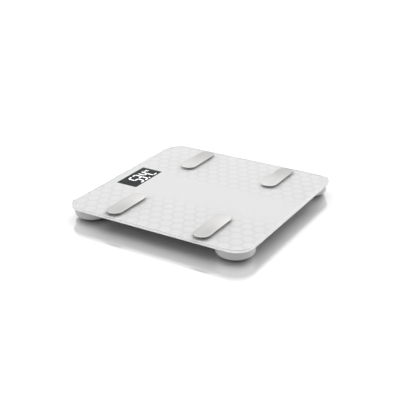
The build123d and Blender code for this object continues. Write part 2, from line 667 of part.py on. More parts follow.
with BuildPart() as unit_button:
    with BuildSketch(Plane((BUTTON_X, BUTTON_Y, BUTTON_BOTTOM_Z))):
        Circle(BUTTON_R)
    extrude(amount=BUTTON_FLANGE_Z - BUTTON_BOTTOM_Z)
    fillet(unit_button.edges().group_by(Axis.Z)[0], 0.4)
    with BuildSketch(Plane((BUTTON_X, BUTTON_Y, BUTTON_FLANGE_Z))):
        Circle(BUTTON_R + 1.2)
    extrude(amount=0.7)
    with BuildSketch(Plane((BUTTON_X, BUTTON_Y, BUTTON_FLANGE_Z + 0.7))):
        Circle(1.8)
    extrude(amount=PLUNGER_BOTTOM_Z - BUTTON_FLANGE_Z - 0.7)
save(unit_button.part, "unit_button")

# ---------------------------------------------------------------- internal leads and their clips
LEAD_BEND_R = 9.0
LEAD_TIGHT_BEND_R = 4.8


def lead_route(points, z):
    """Three-dimensional route of a lead at one height."""
    return [(x, y, z) for x, y in points]


def print_lead_check(name, volume, length, radius):
    """Print the solids' volume beside section times length."""
    print(f"{name}: volume {volume:.1f}, section times length {math.pi * radius**2 * length:.1f}")


total_length = 0.0
with BuildPart() as electrode_leads:
    for side in SIDES:
        start_x = side * (ELECTRODE_X - BARREL_END)
        front_x = DISPLAY_X + side * FRONT_ELECTRODE_LEAD_RUN
        rear_x = DISPLAY_X + side * ELECTRODE_LEAD_RUN
        routes = (
            (
                LEAD_TIGHT_BEND_R,
                (start_x, ELECTRODE_FRONT_Y),
                (front_x, ELECTRODE_FRONT_Y),
                (front_x, LEAD_END_Y),
            ),
            (
                LEAD_BEND_R,
                (start_x, ELECTRODE_REAR_Y),
                (rear_x + side * 16.0, ELECTRODE_REAR_Y),
                (rear_x, ELECTRODE_REAR_Y + 16.0),
                (rear_x, LEAD_END_Y),
            ),
        )
        for bend_r, *route in routes:
            with BuildLine() as wire:
                FilletPolyline(*lead_route(route, ELECTRODE_LEAD_Z), radius=bend_r)
            with BuildSketch(Plane(origin=wire.line @ 0, z_dir=wire.line % 0)):
                Circle(ELECTRODE_LEAD_R)
            sweep(path=wire.line)
            length = wire.wires()[0].length
            total_length += length
save(electrode_leads.part, "electrode_leads")
print_lead_check("electrode leads", electrode_leads.part.volume, total_length, ELECTRODE_LEAD_R)

total_length = 0.0
with BuildPart() as load_cell_leads:
    for side in SIDES:
        start_x = side * (FOOT_OFFSET - GAUGE_SIZE[0] / 2)
        run_x = DISPLAY_X + side * CELL_LEAD_RUN
        front_end_x = DISPLAY_X + side * 45.5
        lift = -6.0
        routes = (
            (
                (start_x, FOOT_OFFSET + lift),
                (start_x - side * 8.0, FOOT_OFFSET + lift),
                (start_x - side * 14.0, FOOT_OFFSET),
                (front_end_x, FOOT_OFFSET),
            ),
            (
                (start_x, -FOOT_OFFSET + lift),
                (start_x - side * 8.0, -FOOT_OFFSET + lift),
                (start_x - side * 14.0, -FOOT_OFFSET),
                (run_x + side * 28.0, -FOOT_OFFSET),
                (run_x, -FOOT_OFFSET + 28.0),
                (run_x, LEAD_END_Y),
            ),
        )
        for route in routes:
            with BuildLine() as wire:
                FilletPolyline(*lead_route(route, CELL_LEAD_Z), radius=LEAD_BEND_R)
            with BuildSketch(Plane(origin=wire.line @ 0, z_dir=wire.line % 0)):
                Circle(CELL_LEAD_R)
            sweep(path=wire.line)
            length = wire.wires()[0].length
            total_length += length
save(load_cell_leads.part, "load_cell_leads")
print_lead_check("load cell leads", load_cell_leads.part.volume, total_length, CELL_LEAD_R)

CLIP_BOTTOM_Z = 13.2
CLIP_LENGTH = 8.0
CLIP_H = FILM_BOTTOM_Z - CLIP_BOTTOM_Z

with BuildPart() as lead_clips:
    for side in SIDES:
        cell_x = DISPLAY_X + side * CELL_LEAD_RUN
        electrode_x = DISPLAY_X + side * ELECTRODE_LEAD_RUN
        for y in (-44.0, -8.0, 26.0):
            with Locations(((cell_x + electrode_x) / 2, y, CLIP_BOTTOM_Z)):
                Box(10.0, CLIP_LENGTH, CLIP_H, align=(Align.CENTER, Align.CENTER, Align.MIN))
            with Locations((cell_x, y, CELL_LEAD_Z)):
                Cylinder(CELL_LEAD_R + 0.05, CLIP_LENGTH, rotation=(90, 0, 0), mode=Mode.SUBTRACT)
            with Locations((electrode_x, y, ELECTRODE_LEAD_Z)):
                Cylinder(ELECTRODE_LEAD_R + 0.05, CLIP_LENGTH, rotation=(90, 0, 0), mode=Mode.SUBTRACT)
        crosswise = (
            (side * 74.0, ELECTRODE_FRONT_Y, ELECTRODE_LEAD_Z, ELECTRODE_LEAD_R),
            (side * 78.0, ELECTRODE_REAR_Y, ELECTRODE_LEAD_Z, ELECTRODE_LEAD_R),
            (side * 76.0, FOOT_OFFSET, CELL_LEAD_Z, CELL_LEAD_R),
            (side * 82.0, -FOOT_OFFSET, CELL_LEAD_Z, CELL_LEAD_R),
        )
        for x, y, z, radius in crosswise:
            with Locations((x, y, CLIP_BOTTOM_Z)):
                Box(CLIP_LENGTH, 6.0, CLIP_H, align=(Align.CENTER, Align.CENTER, Align.MIN))
            with Locations((x, y, z)):
                Cylinder(radius + 0.05, CLIP_LENGTH, rotation=(0, 90, 0), mode=Mode.SUBTRACT)
save(lead_clips.part, "lead_clips")
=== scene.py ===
"""Looks of a slim glass body-composition scale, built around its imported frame.

Metres, +Z up, the floor at z = 0 and the display end of the platform towards +Y.
"""

import logging
import math
from dataclasses import dataclass
from enum import Enum
from typing import Any, Callable, Sequence

import bmesh
import bpy
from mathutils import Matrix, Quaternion, Vector


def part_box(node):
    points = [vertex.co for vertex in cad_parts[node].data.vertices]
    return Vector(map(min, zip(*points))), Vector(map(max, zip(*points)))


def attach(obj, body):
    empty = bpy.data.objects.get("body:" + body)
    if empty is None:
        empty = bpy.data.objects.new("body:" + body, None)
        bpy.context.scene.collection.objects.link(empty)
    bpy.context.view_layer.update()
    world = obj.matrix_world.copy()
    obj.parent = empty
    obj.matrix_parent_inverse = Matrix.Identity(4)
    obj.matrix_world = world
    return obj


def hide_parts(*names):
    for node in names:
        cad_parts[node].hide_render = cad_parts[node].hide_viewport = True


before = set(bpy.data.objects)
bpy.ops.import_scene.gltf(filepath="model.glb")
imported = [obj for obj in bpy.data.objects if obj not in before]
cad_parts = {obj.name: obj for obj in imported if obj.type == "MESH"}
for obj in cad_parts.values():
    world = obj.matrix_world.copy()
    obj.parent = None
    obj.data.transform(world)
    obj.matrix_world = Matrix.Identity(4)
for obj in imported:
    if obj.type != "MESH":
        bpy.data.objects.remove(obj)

log = logging.getLogger("scale")

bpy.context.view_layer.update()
MM = 0.001
PLATFORM = "platform"
CORNERS = ("front_left", "front_right", "rear_left", "rear_right")
FLOAT = "NodeSocketFloat"
VECTOR = "NodeSocketVector"

Point2 = tuple[float, float]
Outline = Callable[[float], list[Point2]]
Colour = tuple[float, float, float]
Node = bpy.types.Node
Socket = bpy.types.NodeSocket
Mesh = bpy.types.Mesh
Piece = bpy.types.Object
BMesh = bmesh.types.BMesh


def box_centre(node: str) -> Vector:
    """Middle of a CAD node's box, in metres."""
    low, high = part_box(node)
    return (low + high) / 2


# ---------------------------------------------------------------------------- node trees


class Graph:
    """A node tree with short calls that add and join its nodes."""

    def __init__(self, tree: bpy.types.NodeTree) -> None:
        """Wrap a tree."""
        self.tree = tree

    def set(self, node: Node, inputs: dict) -> None:
        """Fill a node's inputs.

        Args:
            node: the node.
            inputs: socket name or index to a value, a colour or another node's output.
        """
        for key, value in inputs.items():
            socket = node.inputs[key]
            if isinstance(value, Socket):
                self.tree.links.new(value, socket)
            elif socket.type == "RGBA":
                socket.default_value = (*value, 1.0)
            else:
                socket.default_value = value

    def add(self, kind: str, inputs: dict | None = None, **settings: Any) -> Node:
        """Add one node.

        Args:
            kind: the node's type name.
            inputs: what fills its inputs, as in set.
            settings: properties of the node itself.

        Returns:
            The new node.
        """
        node = self.tree.nodes.new(kind)
        for key, value in settings.items():
            setattr(node, key, value)
        self.set(node, inputs or {})
        return node

    def group(self, tree: bpy.types.NodeTree, inputs: dict) -> Node:
        """Place a shader group with these inputs."""
        return self.add("ShaderNodeGroup", inputs, node_tree=tree)

    def math(self, operation: str, a: Any, b: Any = 0.0) -> Socket:
        """Result of a Math node on a and b."""
        return self.add("ShaderNodeMath", {0: a, 1: b}, operation=operation).outputs[0]

    def vector_math(self, operation: str, *values: Any) -> Node:
        """Vector Math node on the values."""
        return self.add("ShaderNodeVectorMath", dict(enumerate(values)), operation=operation)

    def axis(self, vector: Any, name: str) -> Socket:
        """One component of a vector, by its letter."""
        return self.add("ShaderNodeSeparateXYZ", {0: vector}).outputs[name]

    def combine(self, **parts: Any) -> Socket:
        """Vector made of its named components."""
        return self.add("ShaderNodeCombineXYZ", parts).outputs[0]

    def smooth(self, value: Any, low: float, high: float) -> Socket:
        """Smooth step from 0 at low to 1 at high."""
        ends = {"Value": value, "From Min": low, "From Max": high}
        return self.add("ShaderNodeMapRange", ends, interpolation_type="SMOOTHSTEP").outputs["Result"]

    def spread(self, value: Any, low: Any, high: Any) -> Socket:
        """Map 0..1 on to low..high."""
        ends = {"Value": value, "To Min": low, "To Max": high}
        return self.add("ShaderNodeMapRange", ends).outputs["Result"]

    def mix(self, factor: Any, a: Any, b: Any) -> Socket:
        """Mix colours a and b, with factor as the share of b."""
        return self.add("ShaderNodeMix", {0: factor, 6: a, 7: b}, data_type="RGBA").outputs[2]

    def bump(self, height: Socket, depth: float) -> Socket:
        """Normal of a relief, from its 0 to 1 height and its depth in metres."""
        return self.add("ShaderNodeBump", {"Height": height, "Distance": depth}).outputs[0]


def interface(tree: bpy.types.NodeTree, inputs: dict[str, str], outputs: dict[str, str]) -> None:
    """Give a group its sockets.

    Args:
        tree: the node group.
        inputs: input names to socket types.
        outputs: output names to socket types.
    """
    for way, sockets in (("INPUT", inputs), ("OUTPUT", outputs)):
        for name, kind in sockets.items():
            tree.interface.new_socket(name=name, in_out=way, socket_type=kind)


def shader_group(name: str, inputs: dict[str, str], outputs: Sequence[str]) -> tuple[Graph, Node]:
    """Start a shader group.

    Args:
        name: the group's name.
        inputs: input names to socket types.
        outputs: names of its outputs, all floats.

    Returns:
        The group's graph and its input node.
    """
    graph = Graph(bpy.data.node_groups.new(name, "ShaderNodeTree"))
    interface(graph.tree, inputs, {output: FLOAT for output in outputs})
    return graph, graph.add("NodeGroupInput")


def grain_group() -> bpy.types.NodeTree:
    """Fine moulded grain.

    Returns:
        A group with Height and Patches outputs, both 0 to 1.
    """
    graph, source = shader_group("moulded_grain", {"Vector": VECTOR, "Scale": FLOAT}, ("Height", "Patches"))
    vector, scale = source.outputs["Vector"], source.outputs["Scale"]
    fine = graph.add("ShaderNodeTexNoise", {"Vector": vector, "Scale": scale, "Detail": 3.0})
    coarse_scale = graph.math("MULTIPLY", scale, 0.035)
    coarse = graph.add("ShaderNodeTexNoise", {"Vector": vector, "Scale": coarse_scale, "Detail": 4.0})
    patches = graph.smooth(coarse.outputs[0], 0.3, 0.7)
    graph.add("NodeGroupOutput", {"Height": fine.outputs[0], "Patches": patches})
    return graph.tree


def brushed_group() -> bpy.types.NodeTree:
    """Fine straight brush lines along X.

    Returns:
        A group with Height and Streaks outputs, both 0 to 1.
    """
    graph, source = shader_group("brushed_lines", {"Vector": VECTOR, "Scale": FLOAT}, ("Height", "Streaks"))
    scale = source.outputs["Scale"]
    stretch = {"Vector": source.outputs["Vector"], "Scale": (0.018, 1.0, 1.0)}
    along = graph.add("ShaderNodeMapping", stretch).outputs[0]
    fine = graph.add("ShaderNodeTexNoise", {"Vector": along, "Scale": scale, "Detail": 5.0, "Roughness": 0.7})
    wide_scale = graph.math("MULTIPLY", scale, 0.2)
    wide = graph.add("ShaderNodeTexNoise", {"Vector": along, "Scale": wide_scale, "Detail": 2.0})
    shares = [graph.math("MULTIPLY", fine.outputs[0], 0.6), graph.math("MULTIPLY", wide.outputs[0], 0.4)]
    graph.add("NodeGroupOutput", {"Height": fine.outputs[0], "Streaks": graph.math("ADD", *shares)})
    return graph.tree


def honeycomb_group() -> bpy.types.NodeTree:
    """Honeycomb of flat-topped cells stacked along Y.

    The cell centres are two rectangular lattices, one moved by half a step each way.

    Returns:
        A group whose Cell output is 1 in a cell and falls softly to 0 in the gaps.
    """
    inputs = {"Vector": VECTOR, "Pitch": FLOAT, "Cell": FLOAT, "Softness": FLOAT}
    graph, source = shader_group("honeycomb", inputs, ("Cell",))
    place, pitch = source.outputs["Vector"], source.outputs["Pitch"]
    step = graph.combine(X=graph.math("MULTIPLY", pitch, math.sqrt(3)), Y=pitch, Z=0.0)
    half, minus_half = (
        graph.add("ShaderNodeVectorMath", {0: step, "Scale": share}, operation="SCALE").outputs[0]
        for share in (0.5, -0.5)
    )
    moved = graph.vector_math("SUBTRACT", place, half).outputs[0]
    first, second = (graph.vector_math("WRAP", at, half, minus_half).outputs[0] for at in (place, moved))
    lengths = [graph.vector_math("LENGTH", offset).outputs["Value"] for offset in (first, second)]
    nearer = graph.math("LESS_THAN", lengths[1], lengths[0])
    offset = graph.add("ShaderNodeMix", {0: nearer}, data_type="VECTOR")
    graph.set(offset, {4: first, 5: second})
    size = graph.vector_math("ABSOLUTE", offset.outputs[1]).outputs[0]
    across, up = graph.axis(size, "X"), graph.axis(size, "Y")
    shares = [graph.math("MULTIPLY", across, math.sqrt(3) / 2), graph.math("MULTIPLY", up, 0.5)]
    reach = graph.math("MAXIMUM", graph.math("ADD", *shares), up)
    inside = graph.math("SUBTRACT", source.outputs["Cell"], reach)
    edge = graph.math("DIVIDE", inside, source.outputs["Softness"])
    graph.add("NodeGroupOutput", {"Cell": graph.smooth(edge, -1.0, 1.0)})
    return graph.tree


GRAIN = grain_group()
BRUSHED = brushed_group()
HONEYCOMB = honeycomb_group()


# ---------------------------------------------------------------------------- finishes


class Sheen(Enum):
    """How a surface shines: its roughness in its dull patches and outside them."""

    MATT = (0.62, 0.78)
    SATIN = (0.38, 0.52)
    GLOSS = (0.12, 0.22)
    GROUND = (0.32, 0.24)


def new_material(name: str) -> tuple[bpy.types.Material, Graph, Node, Socket]:
    """Start a material.

    Args:
        name: the material's name.

    Returns:
        The material, its graph, its Principled BSDF and its Object coordinate socket.
    """
    material = bpy.data.materials.new(name)
    material.use_nodes = True
    graph = Graph(material.node_tree)
    shader = material.node_tree.nodes["Principled BSDF"]
    return material, graph, shader, graph.add("ShaderNodeTexCoord").outputs["Object"]


def dimmed(colour: Colour, share: float) -> Colour:
    """Colour with only this share of its brightness."""
    return tuple(c * share for c in colour)


@dataclass(frozen=True)
class Moulded:
    """Moulded, cast or ground finish with a fine grain.

    Attributes:
        name: the material's name.
        colour: base colour.
        sheen: how it shines.
        grain: grain cells per metre.
        depth: height of the grain in metres.
        drift: how far the colour drifts in patches, as a share.
        dull: colour of the patches, where a share does not say it.
        specular: specular level, 0 behind bonded glass.
    """

    name: str
    colour: Colour
    sheen: Sheen = Sheen.MATT
    grain: float = 2600.0
    depth: float = 0.00002
    drift: float = 0.06
    dull: Colour | None = None
    specular: float = 0.5

    def material(self) -> bpy.types.Material:
        """Build the material.

        Returns:
            The material.
        """
        material, graph, shader, place = new_material(self.name)
        grain = graph.group(GRAIN, {"Vector": place, "Scale": self.grain})
        patches = grain.outputs["Patches"]
        looks = {
            "Base Color": graph.mix(patches, self.dull or dimmed(self.colour, 1 - self.drift), self.colour),
            "Roughness": graph.spread(patches, *self.sheen.value),
            "Normal": graph.bump(grain.outputs["Height"], self.depth),
            "Specular IOR Level": self.specular,
        }
        graph.set(shader, looks)
        return material


@dataclass(frozen=True)
class Steel:
    """Bare metal with straight brush lines along X.

    Attributes:
        name: the material's name.
        colour: base colour.
        rough: lowest and highest roughness.
        lines: brush lines per metre.
        depth: height of the lines in metres.
        trough: share of the colour left in the lines.
        ends: colour share left at the outer ends of a foot electrode, 1 for none taken; painted shade that
            stands in for a darker reflection there.
        inner: distance from the middle of the scale where the painted shade starts, in metres.
        outer: distance where the painted shade is full, in metres.
        full: how much of the painted shade is taken where it is full.
    """

    name: str
    colour: Colour
    rough: Point2 = (0.22, 0.38)
    lines: float = 3500.0
    depth: float = 0.00001
    trough: float = 0.9
    ends: float = 1.0
    inner: float = 0.072
    outer: float = 0.125
    full: float = 0.9

    def material(self) -> bpy.types.Material:
        """Build the material.

        Returns:
            The material.
        """
        material, graph, shader, place = new_material(self.name)
        brushed = graph.group(BRUSHED, {"Vector": place, "Scale": self.lines})
        streaks = brushed.outputs["Streaks"]
        base = graph.mix(streaks, dimmed(self.colour, self.trough), self.colour)
        # Painted shade: the base colour darkens towards the outer ends of an electrode, standing in for a
        # darker reflection there.
        if self.ends < 1.0:
            across = graph.math("ABSOLUTE", graph.axis(place, "X"))
            far = graph.smooth(across, self.inner, self.outer)
            base = graph.mix(graph.math("MULTIPLY", far, self.full), base, dimmed(self.colour, self.ends))
        looks = {
            "Base Color": base,
            "Roughness": graph.spread(streaks, *self.rough),
            "Normal": graph.bump(brushed.outputs["Height"], self.depth),
            "Metallic": 1.0,
            "Anisotropic": 0.4,
        }
        graph.set(shader, looks)
        return material


@dataclass(frozen=True)
class ClearGlass:
    """Tempered float glass with a few faint smears.

    Attributes:
        name: the material's name.
        tint: colour of the glass.
        ior: refractive index, low so that the display under the glass stays dark.
        rough: lowest and highest roughness.
        smears: smears per metre.
    """

    name: str = "platform_glass"
    tint: Colour = (0.995, 0.997, 0.996)
    ior: float = 1.12
    rough: Point2 = (0.0, 0.02)
    smears: float = 420.0

    def material(self) -> bpy.types.Material:
        """Build the material.

        Returns:
            The material.
        """
        material, graph, shader, place = new_material(self.name)
        smears = graph.group(GRAIN, {"Vector": place, "Scale": self.smears})
        rough = graph.spread(smears.outputs["Patches"], *self.rough)
        graph.set(shader, {"Roughness": rough, "Base Color": self.tint, "IOR": self.ior})
        shader.inputs["Transmission Weight"].default_value = 1.0
        return material


@dataclass(frozen=True)
class HoneycombPrint:
    """White print under the glass with a faint honeycomb that fades out in the middle.

    Attributes:
        name: the material's name.
        ground: colour of the gaps.
        cell: colour of the cells.
        plain: share of the cell colour where there are no cells.
        rough: lowest and highest roughness.
        grain: grain of the roughness, per metre.
        pitch: distance between neighbouring cells in metres.
        cell_reach: half height of a cell in metres.
        softness: half width of a cell's soft edge in metres.
        origin: centre of one cell in metres.
        clear_x: middle of the part with no cells, along X.
        clear: half widths at which the cells start to show and are full.
    """

    name: str = "printed_film"
    ground: Colour = (0.735, 0.735, 0.735)
    cell: Colour = (0.79, 0.79, 0.79)
    plain: float = 0.9
    rough: Point2 = (0.5, 0.62)
    grain: float = 900.0
    pitch: float = 0.0187
    cell_reach: float = 0.0074
    softness: float = 0.0011
    origin: Point2 = (-0.136, 0.0188)
    clear_x: float = -0.008
    clear: Point2 = (0.018, 0.065)

    def material(self) -> bpy.types.Material:
        """Build the material.

        Returns:
            The material.
        """
        material, graph, shader, place = new_material(self.name)
        start = (-self.origin[0], -self.origin[1], 0)
        shift = graph.add("ShaderNodeMapping", {"Vector": place, "Location": start}).outputs[0]
        flat = graph.vector_math("MULTIPLY", shift, (1, 1, 0)).outputs[0]
        sizes = {"Pitch": self.pitch, "Cell": self.cell_reach, "Softness": self.softness}
        cells = graph.group(HONEYCOMB, {"Vector": flat, **sizes}).outputs["Cell"]
        away = graph.math("ABSOLUTE", graph.math("SUBTRACT", graph.axis(place, "X"), self.clear_x))
        shown = graph.smooth(away, *self.clear)
        blend = graph.math("MULTIPLY", shown, graph.math("SUBTRACT", cells, self.plain))
        factor = graph.math("ADD", blend, self.plain)
        patches = graph.group(GRAIN, {"Vector": place, "Scale": self.grain}).outputs["Patches"]
        looks = {
            "Base Color": graph.mix(factor, self.ground, self.cell),
            "Roughness": graph.spread(patches, *self.rough),
            "Specular IOR Level": 0.0,
        }
        graph.set(shader, looks)
        return material


@dataclass(frozen=True)
class Laminate:
    """Circuit board with tracks under green solder mask.

    Attributes:
        name: the material's name.
        mask: colour over bare laminate.
        track: colour over copper.
        pitch: tracks per metre.
        depth: height of a track in metres.
    """

    name: str = "board_laminate"
    mask: Colour = (0.015, 0.11, 0.05)
    track: Colour = (0.03, 0.22, 0.1)
    pitch: float = 420.0
    depth: float = 0.00003

    def material(self) -> bpy.types.Material:
        """Build the material.

        Returns:
            The material.
        """
        material, graph, shader, place = new_material(self.name)
        inputs = {"Vector": place, "Scale": self.pitch}
        cells = graph.add("ShaderNodeTexVoronoi", inputs, feature="F1", distance="CHEBYCHEV")
        tracks = graph.smooth(cells.outputs["Distance"], 0.30, 0.36)
        looks = {
            "Base Color": graph.mix(tracks, self.mask, self.track),
            "Roughness": graph.spread(tracks, 0.3, 0.2),
            "Normal": graph.bump(tracks, self.depth),
        }
        graph.set(shader, looks)
        return material


@dataclass(frozen=True)
class Glowing:
    """Lit liquid-crystal segments.

    Attributes:
        name: the material's name.
        colour: colour of a lit segment.
        strength: emission strength.
        patchy: share of the glow left in its dimmer patches.
        grain: patches per metre, before the group's own coarsening.
    """

    name: str = "lit_segments"
    colour: Colour = (0.93, 0.95, 0.96)
    strength: float = 0.75
    patchy: float = 0.94
    grain: float = 1800.0

    def material(self) -> bpy.types.Material:
        """Build the material.

        Returns:
            The material.
        """
        material, graph, shader, place = new_material(self.name)
        patches = graph.group(GRAIN, {"Vector": place, "Scale": self.grain}).outputs["Patches"]
        looks = {
            "Emission Color": graph.mix(patches, dimmed(self.colour, self.patchy), self.colour),
            "Emission Strength": self.strength,
            "Base Color": self.colour,
            "Roughness": 0.5,
        }
        graph.set(shader, looks)
        return material


@dataclass(frozen=True)
class CellJacket:
    """Dark battery jacket with a copper-coloured shoulder at the positive end.

    Attributes:
        name: the material's name.
        jacket: colour of the sleeve.
        shoulder: colour of the band.
        band: width of the band in metres.
        grain: grain of the roughness, per metre.
    """

    name: str = "cell_jacket"
    jacket: Colour = (0.02, 0.025, 0.03)
    shoulder: Colour = (0.5, 0.28, 0.14)
    band: float = 0.011
    grain: float = 1500.0

    def material(self) -> bpy.types.Material:
        """Build the material.

        Returns:
            The material.
        """
        material, graph, shader, place = new_material(self.name)
        low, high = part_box("battery_cells")
        middle, half = (low.x + high.x) / 2, (high.x - low.x) / 2
        away = graph.math("ABSOLUTE", graph.math("SUBTRACT", graph.axis(place, "X"), middle))
        band = graph.math("GREATER_THAN", away, half - self.band)
        patches = graph.group(GRAIN, {"Vector": place, "Scale": self.grain}).outputs["Patches"]
        looks = {
            "Base Color": graph.mix(band, self.jacket, self.shoulder),
            "Roughness": graph.spread(patches, 0.22, 0.34),
            "Metallic": 0.6,
        }
        graph.set(shader, looks)
        return material


@dataclass(frozen=True)
class LayeredRubber:
    """Striped conductive silicone of an elastomer connector.

    Attributes:
        name: the material's name.
        dark: conducting layers.
        pale: insulating layers.
        stripes: stripes per metre.
    """

    name: str = "zebra_rubber"
    dark: Colour = (0.03, 0.03, 0.03)
    pale: Colour = (0.65, 0.45, 0.5)
    stripes: float = 2000.0

    def material(self) -> bpy.types.Material:
        """Build the material.

        Returns:
            The material.
        """
        material, graph, shader, place = new_material(self.name)
        wave = graph.add("ShaderNodeTexWave", {"Vector": place, "Scale": self.stripes}, bands_direction="X")
        graph.set(shader, {"Base Color": graph.mix(wave.outputs[1], self.dark, self.pale), "Roughness": 0.6})
        return material


GROUND_GLASS = (0.97, 0.975, 0.97)
DULL_GLASS = (0.90, 0.91, 0.905)


class Palette:
    """Every finish of the scale, each built once."""

    def __init__(self) -> None:
        """Build the finishes."""
        finishes = (
            ClearGlass(),
            Moulded("ground_edge", GROUND_GLASS, Sheen.GROUND, 2400.0, 0.00001, dull=DULL_GLASS),
            HoneycombPrint(),
            Moulded("print_back", (0.60, 0.60, 0.60), Sheen.SATIN, grain=1200.0),
            # The electrode steel gets painted shade on its outer ends, standing in for a darker reflection
            # there.
            Steel("electrode_steel", (0.565, 0.56, 0.552), ends=0.69, rough=(0.26, 0.36)),
            Moulded("foam_tape", (0.72, 0.72, 0.70), Sheen.MATT, grain=3800.0, depth=0.00005),
            Steel("zinc_steel", (0.66, 0.67, 0.69), rough=(0.18, 0.34), lines=9000.0),
            Steel("nickel_plate", (0.72, 0.69, 0.63), rough=(0.14, 0.26), lines=7000.0),
            Moulded("electrode_lead_pvc", (0.45, 0.03, 0.025), Sheen.SATIN),
            Moulded("load_lead_pvc", (0.62, 0.62, 0.62), Sheen.SATIN),
            Moulded("clip_nylon", (0.74, 0.74, 0.71), Sheen.SATIN),
            Moulded("gauge_silicone", (0.82, 0.82, 0.80), Sheen.SATIN, grain=900.0),
            Moulded("housing_abs", (0.66, 0.66, 0.66), Sheen.MATT, grain=3200.0, depth=0.00003),
            CellJacket(),
            Moulded("lcd_glass", (0.010, 0.010, 0.012), Sheen.GLOSS, grain=300.0, depth=0.0, specular=0.0),
            Glowing(),
            Moulded("light_guide", (0.86, 0.86, 0.86), Sheen.GLOSS, grain=700.0, depth=0.0),
            Moulded("lcd_frame_abs", (0.025, 0.025, 0.026), Sheen.MATT),
            LayeredRubber(),
            Laminate(),
            Moulded("chip_epoxy", (0.022, 0.022, 0.023), Sheen.MATT, grain=5200.0, depth=0.00002),
            Steel("crystal_steel", (0.74, 0.74, 0.74), rough=(0.16, 0.28), lines=6000.0),
            Moulded("capacitor_sleeve", (0.015, 0.02, 0.09), Sheen.GLOSS, grain=900.0, depth=0.0),
            Moulded("connector_nylon", (0.78, 0.76, 0.70), Sheen.SATIN),
            Moulded("switch_body", (0.03, 0.03, 0.03), Sheen.SATIN),
            Moulded("button_abs", (0.30, 0.31, 0.32), Sheen.SATIN),
            Moulded("cup_abs", (0.84, 0.84, 0.835), Sheen.SATIN, grain=3000.0, depth=0.000015, drift=0.03),
            Steel("load_cell_steel", (0.62, 0.62, 0.61), rough=(0.2, 0.36), lines=5200.0),
            Moulded("base_abs", (0.42, 0.42, 0.42), Sheen.MATT),
            Moulded("pad_rubber", (0.055, 0.055, 0.055), Sheen.MATT, grain=4200.0, depth=0.00004),
        )
        self._materials = {finish.name: finish.material() for finish in finishes}

    def __getitem__(self, name: str) -> bpy.types.Material:
        """Material of that name."""
        return self._materials[name]


# ---------------------------------------------------------------------------- mesh making


def arc_points(centre: Point2, radius: float, start: float, turn: float, steps: int) -> list[Point2]:
    """Points along an arc."""
    angles = [start + turn * i / steps for i in range(steps + 1)]
    return [(centre[0] + radius * math.cos(a), centre[1] + radius * math.sin(a)) for a in angles]


def rounded_rectangle(centre: Point2, width: float, depth: float, radius: float, steps: int = 16) -> Outline:
    """Outline of a rectangle with round corners.

    Args:
        centre: its middle.
        width: size along X.
        depth: size along Y.
        radius: corner radius.
        steps: steps round each corner.

    Returns:
        A function from an inset to the outline's points.
    """

    def outline(inset: float) -> list[Point2]:
        """Points of the outline.

        Args:
            inset: how far it is moved inwards.

        Returns:
            The points.
        """
        r = max(radius - inset, 0.00001)
        half_w, half_d = width / 2 - inset - r, depth / 2 - inset - r
        points: list[Point2] = []
        for quarter, (sx, sy) in enumerate(((1, 1), (-1, 1), (-1, -1), (1, -1))):
            corner = (centre[0] + sx * half_w, centre[1] + sy * half_d)
            points += arc_points(corner, r, quarter * math.pi / 2, math.pi / 2, steps)
        return points

    return outline


def pill(centre: Point2, length: float, width: float, steps: int = 24) -> Outline:
    """Outline of a pill along X.

    Args:
        centre: its middle.
        length: overall length.
        width: overall width.
        steps: steps round each end.

    Returns:
        A function from an inset to the outline's points.
    """

    def outline(inset: float) -> list[Point2]:
        """Points of the outline.

        Args:
            inset: how far it is moved inwards.

        Returns:
            The points.
        """
        radius = max(width / 2 - inset, 0.00001)
        reach = (length - width) / 2
        right = arc_points((centre[0] + reach, centre[1]), radius, -math.pi / 2, math.pi, steps)
        left = arc_points((centre[0] - reach, centre[1]), radius, math.pi / 2, math.pi, steps)
        return right + left

    return outline


def circle(centre: Point2, radius: float, steps: int = 32) -> Outline:
    """Outline of a circle.

    Args:
        centre: its middle.
        radius: its radius.
        steps: number of sides.

    Returns:
        A function from an inset to the outline's points.
    """

    def outline(inset: float) -> list[Point2]:
        """Circle moved inwards by inset."""
        return arc_points(centre, max(radius - inset, 0.00001), 0.0, math.tau * (1 - 1 / steps), steps - 1)

    return outline


def add_ring(bm: BMesh, points: Sequence[Point2], z: float) -> list[bmesh.types.BMVert]:
    """Add a level ring of vertices."""
    return [bm.verts.new((x, y, z)) for x, y in points]


def bridge(bm: BMesh, a: Sequence, b: Sequence) -> None:
    """Join two rings with the same number of vertices by a band of quads.

    Args:
        bm: the mesh.
        a: first ring.
        b: second ring.
    """
    count = len(a)
    for i in range(count):
        j = (i + 1) % count
        bm.faces.new((a[i], a[j], b[j], b[i]))


def ring_edges(bm: BMesh, ring: Sequence) -> list[bmesh.types.BMEdge]:
    """Edges round a ring, made where they are missing."""
    pairs = [(ring[i], ring[(i + 1) % len(ring)]) for i in range(len(ring))]
    return [bm.edges.get(pair) or bm.edges.new(pair) for pair in pairs]


def finish_mesh(bm: BMesh, name: str, angle: float = 35.0) -> Mesh:
    """Close up a bmesh into a smooth-shaded mesh with outward normals.

    Args:
        bm: the mesh being built.
        name: name of the result.
        angle: edges sharper than this many degrees stay sharp.

    Returns:
        The mesh.
    """
    bmesh.ops.remove_doubles(bm, verts=bm.verts, dist=1e-7)
    bmesh.ops.recalc_face_normals(bm, faces=bm.faces)
    mesh = bpy.data.meshes.new(name)
    bm.to_mesh(mesh)
    bm.free()
    smooth(mesh, angle)
    return mesh


def smooth(mesh: Mesh, angle: float = 35.0) -> None:
    """Shade a mesh smooth except across sharp edges."""
    mesh.polygons.foreach_set("use_smooth", [True] * len(mesh.polygons))
    mesh.set_sharp_from_angle(angle=math.radians(angle))


